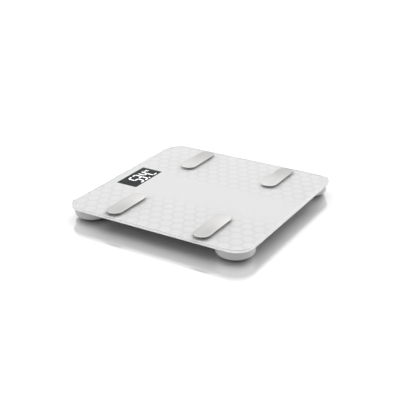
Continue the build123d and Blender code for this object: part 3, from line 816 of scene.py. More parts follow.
def slab(
    bm: BMesh,
    outline: Outline,
    holes: Sequence[Outline],
    z: Point2,
    arris: float,
    steps: int = 3,
) -> None:
    """Add a flat slab with a rounded rim and straight holes.

    The rounded bands of the rim get material index 1 and its upright band index 0.

    Args:
        bm: the mesh to add to.
        outline: the rim.
        holes: outlines of the holes.
        z: lowest and highest height.
        arris: radius of the rim's rounding.
        steps: steps in each rounding.
    """
    low, high = z
    levels: list[Point2] = []
    for i in range(steps + 1):
        angle = math.pi / 2 * i / steps
        levels.append((arris * (1 - math.sin(angle)), low + arris * (1 - math.cos(angle))))
    levels += [(inset, low + high - height) for inset, height in reversed(levels)]
    rings = [add_ring(bm, outline(inset), height) for inset, height in levels]
    for a, b in zip(rings, rings[1:]):
        bridge(bm, a, b)
    middle = len(levels) // 2 - 1
    rim = set(rings[middle] + rings[middle + 1])
    for face in bm.faces:
        face.material_index = int(not rim.issuperset(face.verts))
    bottom, top = ring_edges(bm, rings[0]), ring_edges(bm, rings[-1])
    for hole in holes:
        lower, upper = add_ring(bm, hole(0.0), low), add_ring(bm, hole(0.0), high)
        bridge(bm, lower, upper)
        bottom += ring_edges(bm, lower)
        top += ring_edges(bm, upper)
    for edges in (bottom, top):
        bmesh.ops.triangle_fill(bm, edges=edges, use_beauty=True)


def lathe(bm: BMesh, profile: Sequence[Point2], centre: Vector, segments: int = 96) -> None:
    """Turn a closed profile of radius and height round a vertical axis.

    Args:
        bm: the mesh to add to.
        profile: radius and height pairs, from the axis round and back to the axis.
        centre: a point on the axis; only x and y are used.
        segments: segments round the axis.
    """
    rings = []
    for radius, z in profile:
        if radius < 1e-6:
            rings.append([bm.verts.new((centre.x, centre.y, z))])
        else:
            points = circle((centre.x, centre.y), radius, segments)(0.0)
            rings.append(add_ring(bm, points, z))
    for a, b in zip(rings, rings[1:]):
        if len(a) == len(b) == 1:
            continue
        if len(a) == 1 or len(b) == 1:
            tip, ring = (a[0], b) if len(a) == 1 else (b[0], a)
            for i in range(len(ring)):
                bm.faces.new((ring[i], ring[(i + 1) % len(ring)], tip))
        else:
            bridge(bm, a, b)
    if len(rings[0]) > 1 and len(rings[-1]) > 1:
        bridge(bm, rings[-1], rings[0])


def dress(
    obj: Piece,
    body: str,
    slot: str,
    palette: Palette,
    replaced: Sequence[str] = (),
    finishes: Sequence[str] = (),
) -> None:
    """Give a new piece its body and materials, and hide the CAD nodes that it stands for.

    Args:
        obj: the piece.
        body: the body it rides on.
        slot: name of its material slot's finish, used where no finishes are given.
        palette: the finishes.
        replaced: CAD nodes that it stands for.
        finishes: names of its finishes in slot order, where it is not the slot's alone.
    """
    indices = [face.material_index for face in obj.data.polygons]
    obj.data.materials.clear()
    for name in finishes or (slot,):
        obj.data.materials.append(palette[name])
    obj.data.polygons.foreach_set("material_index", indices)
    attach(obj, body)
    if replaced:
        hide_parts(*replaced)
    log.info("%s: %d faces on %s", obj.name, len(obj.data.polygons), body)


def new_object(name: str, mesh: Mesh) -> Piece:
    """Link a mesh into the scene as an object at the origin.

    Args:
        name: the object's name.
        mesh: its mesh.

    Returns:
        The object.
    """
    obj = bpy.data.objects.new(name, mesh)
    bpy.context.scene.collection.objects.link(obj)
    return obj


def evaluated(obj: Piece) -> Mesh:
    """Plain mesh of an object with its modifiers applied."""
    graph = bpy.context.evaluated_depsgraph_get()
    return bpy.data.meshes.new_from_object(obj.evaluated_get(graph))


def refined_copy(node: str, bevel: float, name: str) -> Piece:
    """Copy a CAD node, join its triangles and round its edges a little.

    The normals are weighted by area, so flat faces shade flat up to their rounded edges.

    Args:
        node: the CAD node.
        bevel: width of the rounding in metres.
        name: name of the new piece.

    Returns:
        The new object, with its modifiers applied.
    """
    bm = bmesh.new()
    bm.from_mesh(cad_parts[node].data)
    bmesh.ops.remove_doubles(bm, verts=bm.verts, dist=2e-6)
    bmesh.ops.dissolve_limit(bm, angle_limit=math.radians(0.6), verts=bm.verts, edges=bm.edges)
    mesh = bpy.data.meshes.new(name)
    bm.to_mesh(mesh)
    bm.free()
    smooth(mesh, 30.0)
    rough = new_object(name + "_rough", mesh)
    rounding = rough.modifiers.new("rounding", "BEVEL")
    rounding.width = bevel
    rounding.segments = 2
    rounding.limit_method = "ANGLE"
    rounding.angle_limit = math.radians(40)
    rough.data = evaluated(rough)
    rough.modifiers.clear()
    smooth(rough.data, 32.0)
    level = rough.modifiers.new("level", "WEIGHTED_NORMAL")
    level.keep_sharp = True
    level.weight = 100
    flat = evaluated(rough)
    bpy.data.objects.remove(rough)
    return new_object(name, flat)


# ---------------------------------------------------------------------------- repeated pieces


class Repeater:
    """A Geometry Nodes tree that puts copies of one small shape on points."""

    def __init__(self, name: str, inputs: dict[str, str]) -> None:
        """Start the tree.

        Args:
            name: the tree's name.
            inputs: its named size inputs and their socket types.
        """
        self.tree = bpy.data.node_groups.new(name, "GeometryNodeTree")
        geometry = "NodeSocketGeometry"
        sockets = {"Points": geometry, **inputs, "Finish": "NodeSocketMaterial"}
        interface(self.tree, sockets, {"Result": geometry})
        self.graph = Graph(self.tree)
        self.source = self.graph.add("NodeGroupInput")

    def size(self, name: str) -> Socket:
        """Socket of a named input."""
        return self.source.outputs[name]

    def close(self, shape: Socket, rotation: Any = (0.0, 0.0, 0.0)) -> None:
        """End the tree: instance the shape on the points, realize it and give it its material.

        Args:
            shape: the geometry that is repeated.
            rotation: rotation of each copy.
        """
        graph = self.graph
        points = graph.add("GeometryNodeMeshToPoints", {"Mesh": self.size("Points")}).outputs[0]
        copies = {"Points": points, "Instance": shape, "Rotation": rotation}
        placed = graph.add("GeometryNodeInstanceOnPoints", copies)
        solid = graph.add("GeometryNodeRealizeInstances", {0: placed.outputs[0]}).outputs[0]
        done = graph.add("GeometryNodeSetMaterial", {"Geometry": solid, "Material": self.size("Finish")})
        graph.add("NodeGroupOutput", {"Result": done.outputs[0]})

    def build(self, name: str, points: Sequence[Sequence[float]], values: dict[str, Any]) -> Piece:
        """Run the tree on a set of points.

        Args:
            name: name of the new piece.
            points: where the copies go, in metres.
            values: input names to their values.

        Returns:
            The new object, as a plain mesh with no modifier.
        """
        cloud = bpy.data.meshes.new(name + "_points")
        cloud.from_pydata([tuple(p) for p in points], [], [])
        holder = bpy.data.objects.new(name + "_holder", cloud)
        modifier = holder.modifiers.new("repeat", "NODES")
        modifier.node_group = self.tree
        for item in self.tree.interface.items_tree:
            if item.item_type == "SOCKET" and item.in_out == "INPUT" and item.name in values:
                modifier[item.identifier] = values[item.name]
        bpy.context.scene.collection.objects.link(holder)
        mesh = evaluated(holder)
        holder.modifiers.remove(modifier)
        bpy.data.objects.remove(holder)
        smooth(mesh, 35.0)
        return new_object(name, mesh)


def screw_repeater() -> Repeater:
    """Cross-recess screws that point up, with their heads at the points.

    Returns:
        The finished repeater.
    """
    sizes = ("Head Radius", "Head Height", "Shank Radius", "Shank Length", "Recess Width")
    repeater = Repeater("cross_screws", {name: FLOAT for name in sizes})
    graph = repeater.graph
    radius, height, shank_radius, shank_length, recess_width = (repeater.size(name) for name in sizes)

    def cylinder(sides: int, radius: Socket, depth: Socket) -> Socket:
        """Upright cylinder round the origin."""
        shape = {"Vertices": sides, "Radius": radius, "Depth": depth}
        return graph.add("GeometryNodeMeshCylinder", shape).outputs[0]

    def moved(shape: Socket, z: Socket) -> Socket:
        """Shape moved up by z."""
        move = {"Geometry": shape, "Translation": graph.combine(Z=z)}
        return graph.add("GeometryNodeTransform", move).outputs[0]

    arm = graph.math("MULTIPLY", radius, 1.15)
    drop = graph.math("MULTIPLY", height, -0.55)
    head = cylinder(28, radius, height)
    recess = graph.add("GeometryNodeMeshBoolean", {"Mesh 1": head}, operation="DIFFERENCE")
    for x, y in ((arm, recess_width), (recess_width, arm)):
        bar = graph.add("GeometryNodeMeshCube", {"Size": graph.combine(X=x, Y=y, Z=height)}).outputs[0]
        graph.set(recess, {"Mesh 2": moved(bar, drop)})
    half_head = graph.math("MULTIPLY", height, 0.5)
    lift = graph.math("ADD", half_head, graph.math("MULTIPLY", shank_length, 0.5))
    join = graph.add("GeometryNodeJoinGeometry", {0: recess.outputs[0]})
    graph.set(join, {0: moved(cylinder(16, shank_radius, shank_length), lift)})
    repeater.close(moved(join.outputs[0], half_head))
    return repeater


def rib_repeater() -> Repeater:
    """Round-topped grip ribs along X.

    Returns:
        The finished repeater.
    """
    repeater = Repeater("grip_ribs", {"Length": FLOAT, "Radius": FLOAT})
    graph = repeater.graph
    half = graph.math("MULTIPLY", repeater.size("Length"), 0.5)
    ends = {"Start": graph.combine(X=graph.math("MULTIPLY", half, -1.0)), "End": graph.combine(X=half)}
    line = graph.add("GeometryNodeCurvePrimitiveLine", ends).outputs[0]
    ring = {"Resolution": 12, "Radius": repeater.size("Radius")}
    profile = graph.add("GeometryNodeCurvePrimitiveCircle", ring).outputs[0]
    sweep = {"Curve": line, "Profile Curve": profile, "Fill Caps": True}
    repeater.close(graph.add("GeometryNodeCurveToMesh", sweep).outputs[0])
    return repeater


def cleat_repeater() -> Repeater:
    """Small blocks that point away from the pad's centre.

    Returns:
        The finished repeater.
    """
    repeater = Repeater("grip_cleats", {"Length": FLOAT, "Width": FLOAT, "Height": FLOAT, "Centre": VECTOR})
    graph = repeater.graph
    size = graph.combine(X=repeater.size("Length"), Y=repeater.size("Width"), Z=repeater.size("Height"))
    block = graph.add("GeometryNodeMeshCube", {"Size": size}).outputs[0]
    place = graph.add("GeometryNodeInputPosition").outputs[0]
    away = graph.vector_math("SUBTRACT", place, repeater.size("Centre")).outputs[0]
    angle = graph.math("ARCTAN2", graph.axis(away, "Y"), graph.axis(away, "X"))
    repeater.close(block, graph.combine(Z=angle))
    return repeater


# ---------------------------------------------------------------------------- sub-assemblies


@dataclass
class Stage:
    """Floor, light and camera.

    Attributes:
        floor_size: side of the floor in metres.
        floor_drop: how far the floor lies below the pads, so that they do not flicker into it.
        floor_tone: grey of the floor.
        floor_metal: how strongly the floor mirrors the object.
        floor_rough: lowest and highest roughness of the floor.
        azimuth: direction the camera looks along, in degrees, 0 along +Y.
        elevation: height of the camera above the horizon in degrees.
        roll: turn of the camera about its own axis in degrees.
        aim: point on the floor that the camera's axis passes through.
        distance: from that point to the camera in metres.
        lens: focal length in millimetres on a 36 mm wide sensor.
        near_wall: brightness of the studio behind the camera.
        far_wall: brightness of the low part of the side that the camera faces.
        ceiling: brightness of the high part of that side.
        far_side: direction of that side.
        panel_place: where the overhead light hangs.
        panel_side: its side in metres.
        panel_power: its power in watts.
    """

    floor_size: float = 14.0
    floor_drop: float = 0.0002
    floor_tone: float = 0.90
    floor_metal: float = 0.4
    floor_rough: Point2 = (0.055, 0.075)
    azimuth: float = -58.78
    elevation: float = 24.42
    roll: float = -0.244
    aim: Vector = Vector((0.008346, 0.01284, 0.0))
    distance: float = 1.2402
    lens: float = 72.08
    near_wall: float = 0.30
    far_wall: float = 1.2
    ceiling: float = 2.2
    far_side: tuple[float, float, float] = (0.855, 0.518, 0.0)
    panel_place: Vector = Vector((0.5, 0.35, 1.6))
    panel_side: float = 1.6
    panel_power: float = 5.0

    def build(self) -> None:
        """Make the floor, the lights and the camera."""
        self._floor()
        self._lights()
        self._camera()

    def _floor(self) -> None:
        """Glossy white floor that hides nothing from a camera below it."""
        bm = bmesh.new()
        half = self.floor_size / 2
        corners = ((-half, -half), (half, -half), (half, half), (-half, half))
        bm.faces.new(add_ring(bm, corners, -self.floor_drop))
        mesh = bpy.data.meshes.new("floor")
        bm.to_mesh(mesh)
        bm.free()
        floor = new_object("floor", mesh)
        material, graph, shader, place = new_material("glossy_floor")
        patches = graph.group(GRAIN, {"Vector": place, "Scale": 60.0}).outputs["Patches"]
        rough = graph.spread(patches, *self.floor_rough)
        tone = (self.floor_tone,) * 3
        graph.set(shader, {"Roughness": rough, "Base Color": tone, "Metallic": self.floor_metal})
        clear = graph.add("ShaderNodeBsdfTransparent").outputs[0]
        behind = graph.add("ShaderNodeNewGeometry").outputs["Backfacing"]
        both = graph.add("ShaderNodeMixShader", {0: behind, 1: shader.outputs[0], 2: clear})
        graph.set(material.node_tree.nodes["Material Output"], {"Surface": both.outputs[0]})
        mesh.materials.append(material)

    def _lights(self) -> None:
        """Soft studio surround with one large panel overhead."""
        world = bpy.data.worlds.new("studio")
        bpy.context.scene.world = world
        world.use_nodes = True
        graph = Graph(world.node_tree)
        background = world.node_tree.nodes["Background"]
        direction = graph.add("ShaderNodeTexCoord").outputs["Generated"]
        far = graph.vector_math("DOT_PRODUCT", direction, self.far_side).outputs["Value"]
        height = graph.axis(direction, "Z")
        above = graph.spread(graph.smooth(height, 0.45, 0.7), self.far_wall, self.ceiling)
        sky = graph.spread(graph.smooth(far, -0.25, 0.35), self.near_wall, above)
        graph.set(background, {"Strength": sky, "Color": (1.0, 1.0, 1.0)})
        self._panel("overhead", self.panel_place, self.panel_side, self.panel_power)
        view = bpy.context.scene.view_settings
        view.view_transform = "Standard"
        view.look = "None"

    def _panel(self, name: str, place: Vector, side: float, power: float) -> None:
        """Add a square soft light aimed at the scale.

        Args:
            name: the light's name.
            place: where it hangs.
            side: its side in metres.
            power: its power in watts.
        """
        lamp = bpy.data.lights.new(name, "AREA")
        lamp.size = side
        lamp.energy = power
        holder = bpy.data.objects.new(name, lamp)
        holder.location = place
        holder.rotation_mode = "QUATERNION"
        holder.rotation_quaternion = place.to_track_quat("Z", "Y")
        bpy.context.scene.collection.objects.link(holder)

    def _camera(self) -> None:
        """Camera at the usual product view."""
        data = bpy.data.cameras.new("camera")
        data.lens = self.lens
        data.sensor_width = 36.0
        data.clip_start, data.clip_end = 0.01, 50.0
        camera = bpy.data.objects.new("camera", data)
        azimuth, elevation = math.radians(self.azimuth), math.radians(self.elevation)
        level = math.cos(elevation)
        back = Vector((math.sin(azimuth) * level, -math.cos(azimuth) * level, math.sin(elevation)))
        camera.location = self.aim + back * self.distance
        camera.rotation_mode = "QUATERNION"
        turn = (-back).to_track_quat("-Z", "Y")
        turn.rotate(Quaternion(back, math.radians(self.roll)))
        camera.rotation_quaternion = turn
        bpy.context.scene.collection.objects.link(camera)
        bpy.context.scene.camera = camera


@dataclass
class Platform:
    """Glass plate and the print under it.

    Attributes:
        corner: corner radius.
        arris: radius of the polished rim.
        stud_hole: radius of the electrode stud holes.
        bond: how far the print's face stands inside the glass, so that they look bonded.
        window_width: width of the display window.
        window_depth: depth of the display window.
    """

    corner: float = 28 * MM
    arris: float = 0.9 * MM
    stud_hole: float = 2.0 * MM
    bond: float = 0.04 * MM
    window_width: float = 72.5 * MM
    window_depth: float = 36.8 * MM

    def build(self, palette: Palette) -> None:
        """Make both pieces.

        Args:
            palette: the finishes.
        """
        low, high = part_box("glass_platform")
        size = high.x - low.x
        studs = [box_centre(f"electrode_{corner}") for corner in CORNERS]
        holes = [circle((p.x, p.y), self.stud_hole, 24) for p in studs]
        display = box_centre("lcd_panel")
        window = rounded_rectangle((display.x, display.y), self.window_width, self.window_depth, 0.0001, 2)
        bm = bmesh.new()
        outline = rounded_rectangle((0, 0), size, size, self.corner, 28)
        slab(bm, outline, holes, (low.z, high.z), self.arris, 5)
        glass = new_object("glass_plate", finish_mesh(bm, "glass_plate", 40.0))
        finishes = ["platform_glass", "ground_edge"]
        dress(glass, PLATFORM, "platform_glass", palette, ["glass_platform"], finishes)

        film_low, film_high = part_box("printed_film")
        inset = (size - (film_high.x - film_low.x)) / 2
        bm = bmesh.new()
        outline = rounded_rectangle((0, 0), size - 2 * inset, size - 2 * inset, self.corner - inset, 28)
        top = film_high.z + self.bond
        slab(bm, outline, [window, *holes], (film_low.z, top), 0.00002, 1)
        mesh = finish_mesh(bm, "print_sheet", 40.0)
        for face in mesh.polygons:
            face.material_index = int(face.center.z < top - 0.00001)
        film = new_object("print_sheet", mesh)
        dress(film, PLATFORM, "printed_film", palette, ["printed_film"], ["printed_film", "print_back"])


@dataclass
class Electrode:
    """One raised foot electrode with its welded stud.

    Attributes:
        corner: which corner of the platform it is at.
        edge: radius of the pressed edge.
        crown: how far the middle stands above the shoulder.
        stud: radius of the stud.
        thread: depth of the stud's thread.
        thread_pitch: pitch of the thread.
    """

    corner: str
    edge: float = 0.95 * MM
    crown: float = 0.12 * MM
    stud: float = 1.5 * MM
    thread: float = 0.16 * MM
    thread_pitch: float = 0.5 * MM

    def build(self, palette: Palette) -> None:
        """Make the electrode.

        Args:
            palette: the finishes.
        """
        node = f"electrode_{self.corner}"
        low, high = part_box(node)
        middle = (low + high) / 2
        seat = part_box("electrode_gaskets")[1].z
        outline = pill((middle.x, middle.y), high.x - low.x, high.y - low.y, 26)
        half = (high.y - low.y) / 2
        top = high.z - self.crown
        levels: list[Point2] = [(0.25 * MM, seat), (0.0, seat + 0.2 * MM), (0.0, top - self.edge)]
        for i in range(1, 8):
            angle = math.pi / 2 * i / 7
            levels.append((self.edge * (1 - math.cos(angle)), top - self.edge * (1 - math.sin(angle))))
        for share in (0.25, 0.5, 0.75, 0.999):
            inset = self.edge + (half - self.edge) * share
            levels.append((inset, top + self.crown * (1 - (1 - share) ** 2)))
        bm = bmesh.new()
        rings = [add_ring(bm, outline(inset), z) for inset, z in levels]
        for a, b in zip(rings, rings[1:]):
            bridge(bm, a, b)
        bm.faces.new(rings[-1])
        bmesh.ops.triangle_fill(bm, edges=ring_edges(bm, rings[0]), use_beauty=True)
        profile: list[Point2] = [(0.0, seat), (self.stud, seat), (self.stud, low.z + 4.5 * MM)]
        turns = int(4.0 * MM / self.thread_pitch)
        for i in range(turns):
            z = low.z + 4.5 * MM - (i + 0.5) * self.thread_pitch
            profile += [(self.stud - self.thread, z), (self.stud, z - self.thread_pitch / 2)]
        profile += [(self.stud - 0.3 * MM, low.z), (0.0, low.z)]
        lathe(bm, profile, middle, 24)
        mesh = finish_mesh(bm, node + "_plate", 50.0)
        plate = new_object(f"foot_electrode_{self.corner}", mesh)
        dress(plate, PLATFORM, "electrode_steel", palette, [node])


@dataclass
class Foot:
    """One corner foot: the fixed cup, and the base and pad that move with the load cell.

    Attributes:
        corner: which corner of the platform it is at.
        wall: wall thickness of the cup.
        edge: radius of the cup's lower edge.
        mouth: radius of the cup's mouth.
        lip: thickness of the cup's floor.
        ceiling: thickness of the cup's ceiling.
        post: radius of the screw posts.
        post_offset: how far the screw posts stand from the cup's middle.
        travel: how far the foot rises under load, and a little over.
        top_edge: insets and drops of the cup's top edge, in millimetres.
        grooves: radius of each groove in the pad, and how many cleats cross it.
        groove_depth: depth of the grooves.
        cleat: length and width of a cleat.
    """

    corner: str
    wall: float = 2.0 * MM
    edge: float = 4.5 * MM
    mouth: float = 21.5 * MM
    lip: float = 1.6 * MM
    ceiling: float = 1.8 * MM
    post: float = 3.2 * MM
    post_offset: float = 13.5 * MM
    travel: float = 0.62 * MM
    top_edge: tuple[Point2, ...] = ((0.7, 0.0), (0.25, 0.1), (0.0, 0.5))
    grooves: tuple[tuple[float, int], ...] = ((13.0 * MM, 28), (8.0 * MM, 18))
    groove_depth: float = 0.5 * MM
    cleat: Point2 = (1.3 * MM, 0.7 * MM)

    def build(self, palette: Palette, cleats: Repeater) -> None:
        """Make the foot.

        Args:
            palette: the finishes.
            cleats: repeater for the pad's grip.
        """
        self._cup(palette)
        self._base(palette)
        self._pad(palette, cleats)

    @property
    def body(self) -> str:
        """Body that the base and pad move with."""
        return f"foot_{self.corner}"

    def _cup(self, palette: Palette) -> None:
        """Fixed cup with rounded edges, an open mouth and four posts for the load cell.

        Args:
            palette: the finishes.
        """
        node = f"foot_cup_{self.corner}"
        low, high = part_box(node)
        radius = (high.x - low.x) / 2
        centre = (low + high) / 2
        bend = (radius - self.edge, low.z + self.edge)
        rim = arc_points(bend, self.edge, 0.0, -math.pi / 2, 10)
        inner = arc_points(bend, self.edge - self.wall, -math.pi / 2, math.pi / 2, 8)
        profile: list[Point2] = [(0.0, high.z)]
        profile += [(radius - inset * MM, high.z - drop * MM) for inset, drop in self.top_edge]
        profile += [
            *rim,
            (self.mouth + 0.5 * MM, low.z),
            (self.mouth, low.z + 0.4 * MM),
            (self.mouth, low.z + self.lip - 0.2 * MM),
            (self.mouth + 0.2 * MM, low.z + self.lip),
            *inner,
            (radius - self.wall, high.z - self.ceiling - 0.6 * MM),
            (radius - self.wall - 0.6 * MM, high.z - self.ceiling),
            (0.0, high.z - self.ceiling),
        ]
        bm = bmesh.new()
        lathe(bm, profile, centre, 128)
        post_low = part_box(f"load_cell_{self.corner}")[1].z
        for sx in (-1, 1):
            for sy in (-1, 1):
                place = centre + Vector((sx * self.post_offset, sy * self.post_offset, 0))
                top = high.z - self.ceiling
                lathe(bm, [(0, top), (self.post, top), (self.post, post_low), (0, post_low)], place, 32)
        cup = new_object(f"cup_{self.corner}", finish_mesh(bm, f"cup_{self.corner}", 32.0))
        dress(cup, PLATFORM, "cup_abs", palette, [node])

    def _base(self, palette: Palette) -> None:
        """Ribbed disc that carries the pad and presses on the load cell.

        The load cell bends under it in use. It is rigid here, so the post stops short of it by the
        travel of the foot and meets it at the top of that travel.

        Args:
            palette: the finishes.
        """
        node = f"foot_base_{self.corner}"
        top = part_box(node)[1].z
        base = refined_copy(node, 0.3 * MM, f"base_{self.corner}")
        for vertex in base.data.vertices:
            if vertex.co.z > top - 0.5 * MM:
                vertex.co.z -= self.travel
        dress(base, self.body, "base_abs", palette, [node])

    def _pad(self, palette: Palette, cleats: Repeater) -> None:
        """Round rubber pad with two grip grooves crossed by short cleats.

        Args:
            palette: the finishes.
            cleats: repeater for its grip.
        """
        node = f"rubber_pad_{self.corner}"
        low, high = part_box(node)
        centre = (low + high) / 2
        radius = (high.x - low.x) / 2
        depth = self.groove_depth
        profile: list[Point2] = [(0.0, high.z), (radius, high.z)]
        profile += arc_points((radius - 0.6 * MM, low.z + 0.6 * MM), 0.6 * MM, 0.0, -math.pi / 2, 5)
        for groove, _ in self.grooves:
            profile += [
                (groove + 0.6 * MM, low.z),
                (groove + 0.5 * MM, low.z + depth),
                (groove - 0.5 * MM, low.z + depth),
                (groove - 0.6 * MM, low.z),
            ]
        profile.append((0.0, low.z))
        bm = bmesh.new()
        lathe(bm, profile, centre, 96)
        pad = new_object(f"pad_{self.corner}", finish_mesh(bm, f"pad_{self.corner}", 32.0))
        dress(pad, self.body, "pad_rubber", palette, [node])
        points = []
        for groove, count in self.grooves:
            ring = circle((centre.x, centre.y), groove, count)(0.0)
            points += [(x, y, low.z + depth / 2 + 0.05 * MM) for x, y in ring]
        length, width = self.cleat
        sizes = {"Length": length, "Width": width, "Height": depth, "Centre": tuple(centre)}
        sizes["Finish"] = palette["pad_rubber"]
        grip = cleats.build(f"pad_cleats_{self.corner}", points, sizes)
        dress(grip, self.body, "pad_rubber", palette)


class Segment(Enum):
    """The seven bars of a digit: middle and direction, in half heights and half widths."""

    TOP = (0.0, 1.0, "across")
    MIDDLE = (0.0, 0.0, "across")
    BOTTOM = (0.0, -1.0, "across")
    UPPER_LEFT = (-1.0, 0.5, "up")
    UPPER_RIGHT = (1.0, 0.5, "up")
    LOWER_LEFT = (-1.0, -0.5, "up")
    LOWER_RIGHT = (1.0, -0.5, "up")


DIGITS = {
    "5": (Segment.TOP, Segment.UPPER_LEFT, Segment.MIDDLE, Segment.LOWER_RIGHT, Segment.BOTTOM),
    "3": (Segment.TOP, Segment.UPPER_RIGHT, Segment.MIDDLE, Segment.LOWER_RIGHT, Segment.BOTTOM),
    "4": (Segment.UPPER_LEFT, Segment.UPPER_RIGHT, Segment.MIDDLE, Segment.LOWER_RIGHT),
}


@dataclass
class Display:
    """Negative liquid-crystal display seen through the window in the print.

    Attributes:
        reading: number that it shows.
        digit_height: height of a digit between the middles of its top and bottom bars.
        digit_width: width between the middles of its side bars.
        bar: width of a bar.
        gap: gap between bars.
        slant: how far a digit leans for each metre of height.
        thickness: thickness of the lit layer.
        bond: how far its face stands inside the glass, so that they look bonded.
        seen_width: width of the part in the window.
        seen_depth: depth of the part in the window.
        digit_places: where the digits stand along X.
        point_place: where the decimal point stands along X.
        point_half: half the side of the decimal point.
        drop: how far the digits stand below the panel's middle.
        unit_place: where the unit stands, from the middle of the digits' line.
        unit_size: size of its letters.
        mark_place: where the mark under the unit stands along X.
        mark_lift: how far it stands above the digits' feet.
        mark_half: half its width and half its height.
    """

    reading: str = "534"
    digit_height: float = 24.6 * MM
    digit_width: float = 8.4 * MM
    bar: float = 2.7 * MM
    gap: float = 0.35 * MM
    slant: float = 0.03
    thickness: float = 0.03 * MM
    bond: float = 0.03 * MM
    seen_width: float = 72.3 * MM
    seen_depth: float = 36.6 * MM
    digit_places: tuple[float, ...] = (-14.3 * MM, -3.6 * MM, 11.6 * MM)
    point_place: float = 4.3 * MM
    point_half: float = 1.3 * MM
    drop: float = 2.0 * MM
    unit_place: Point2 = (23.4 * MM, 8.6 * MM)
    unit_size: float = 8.5 * MM
    mark_place: float = 21.4 * MM
    mark_lift: float = 0.6 * MM
    mark_half: Point2 = (3.9 * MM, 1.0 * MM)

    def build(self, palette: Palette) -> None:
        """Make the panel and its lit segments.

        Args:
            palette: the finishes.
        """
        low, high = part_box("lcd_panel")
        middle = (low + high) / 2
        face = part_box("glass_platform")[0].z + self.bond
        bm = bmesh.new()
        whole = rounded_rectangle((middle.x, middle.y), high.x - low.x, high.y - low.y, 0.5 * MM, 3)
        slab(bm, whole, [], (low.z, high.z), 0.15 * MM, 2)
        shown = rounded_rectangle((middle.x, middle.y), self.seen_width, self.seen_depth, 0.05 * MM, 2)
        slab(bm, shown, [], (high.z - 0.2 * MM, face), 0.01 * MM, 1)
        panel = new_object("lcd_cell", finish_mesh(bm, "lcd_cell"))
        dress(panel, PLATFORM, "lcd_glass", palette, ["lcd_panel"])

        bm = bmesh.new()
        centre_y = middle.y - self.drop
        foot = centre_y - self.digit_height / 2
        for x, digit in zip(self.digit_places, self.reading):
            for segment in DIGITS[digit]:
                self._bar(bm, Vector((x, centre_y, face)), segment)
        self._block(bm, (self.point_place, foot), (self.point_half, self.point_half), face)
        self._unit(bm, Vector((self.unit_place[0], centre_y + self.unit_place[1], face)))
        self._block(bm, (self.mark_place, foot + self.mark_lift), self.mark_half, face)
        lit = new_object("lcd_lit_segments", finish_mesh(bm, "lcd_lit_segments"))
        dress(lit, PLATFORM, "lcd_glass", palette, finishes=["lit_segments"])

    def _prism(self, bm: BMesh, points: Sequence[Point2], z: float) -> None:
        """Add a thin flat shape on the panel's face.

        Args:
            bm: the mesh to add to.
            points: its outline.
            z: height of the panel's face.
        """
        lower, upper = add_ring(bm, points, z), add_ring(bm, points, z + self.thickness)
        bridge(bm, lower, upper)
        bm.faces.new(lower)
        bm.faces.new(upper)

    def _bar(self, bm: BMesh, centre: Vector, segment: Segment) -> None:
        """Add one pointed bar of a digit.

        Args:
            bm: the mesh to add to.
            centre: middle of the digit.
            segment: which bar.
        """
        sx, sy, way = segment.value
        x, y = sx * self.digit_width / 2, sy * self.digit_height / 2
        half = self.bar / 2
        reach = (self.digit_width if way == "across" else self.digit_height / 2) / 2 - self.gap
        tip = ((reach, 0.0), (reach - half, half), (-reach + half, half))
        shape = [*tip, *[(-px, -py) for px, py in tip]]
        points = []
        for px, py in shape:
            dx, dy = (px, py) if way == "across" else (-py, px)
            lean = self.slant * (y + dy)
            points.append((centre.x + x + dx + lean, centre.y + y + dy))
        self._prism(bm, points, centre.z)

    def _block(self, bm: BMesh, centre: Point2, half: Point2, z: float) -> None:
        """Add a small upright block, such as the decimal point.

        Args:
            bm: the mesh to add to.
            centre: its middle.
            half: half its width and half its height.
            z: height of the panel's face.
        """
        x, y = centre
        w, h = half
        self._prism(bm, ((x - w, y - h), (x + w, y - h), (x + w, y + h), (x - w, y + h)), z)

    def _unit(self, bm: BMesh, centre: Vector) -> None:
        """Add the kilogram letters.

        Args:
            bm: the mesh to add to.
            centre: middle of the two letters.
        """
        curve = bpy.data.curves.new("unit", "FONT")
        curve.body = "kg"
        curve.size = self.unit_size
        curve.align_x, curve.align_y = "CENTER", "CENTER"
        curve.extrude = self.thickness / 2
        curve.offset = 0.12 * MM
        text = bpy.data.objects.new("unit", curve)
        bpy.context.scene.collection.objects.link(text)
        mesh = evaluated(text)
        bpy.data.objects.remove(text)
        for vertex in mesh.vertices:
            vertex.co += centre + Vector((0, 0, self.thickness / 2))
        bm.from_mesh(mesh)
        bpy.data.meshes.remove(mesh)


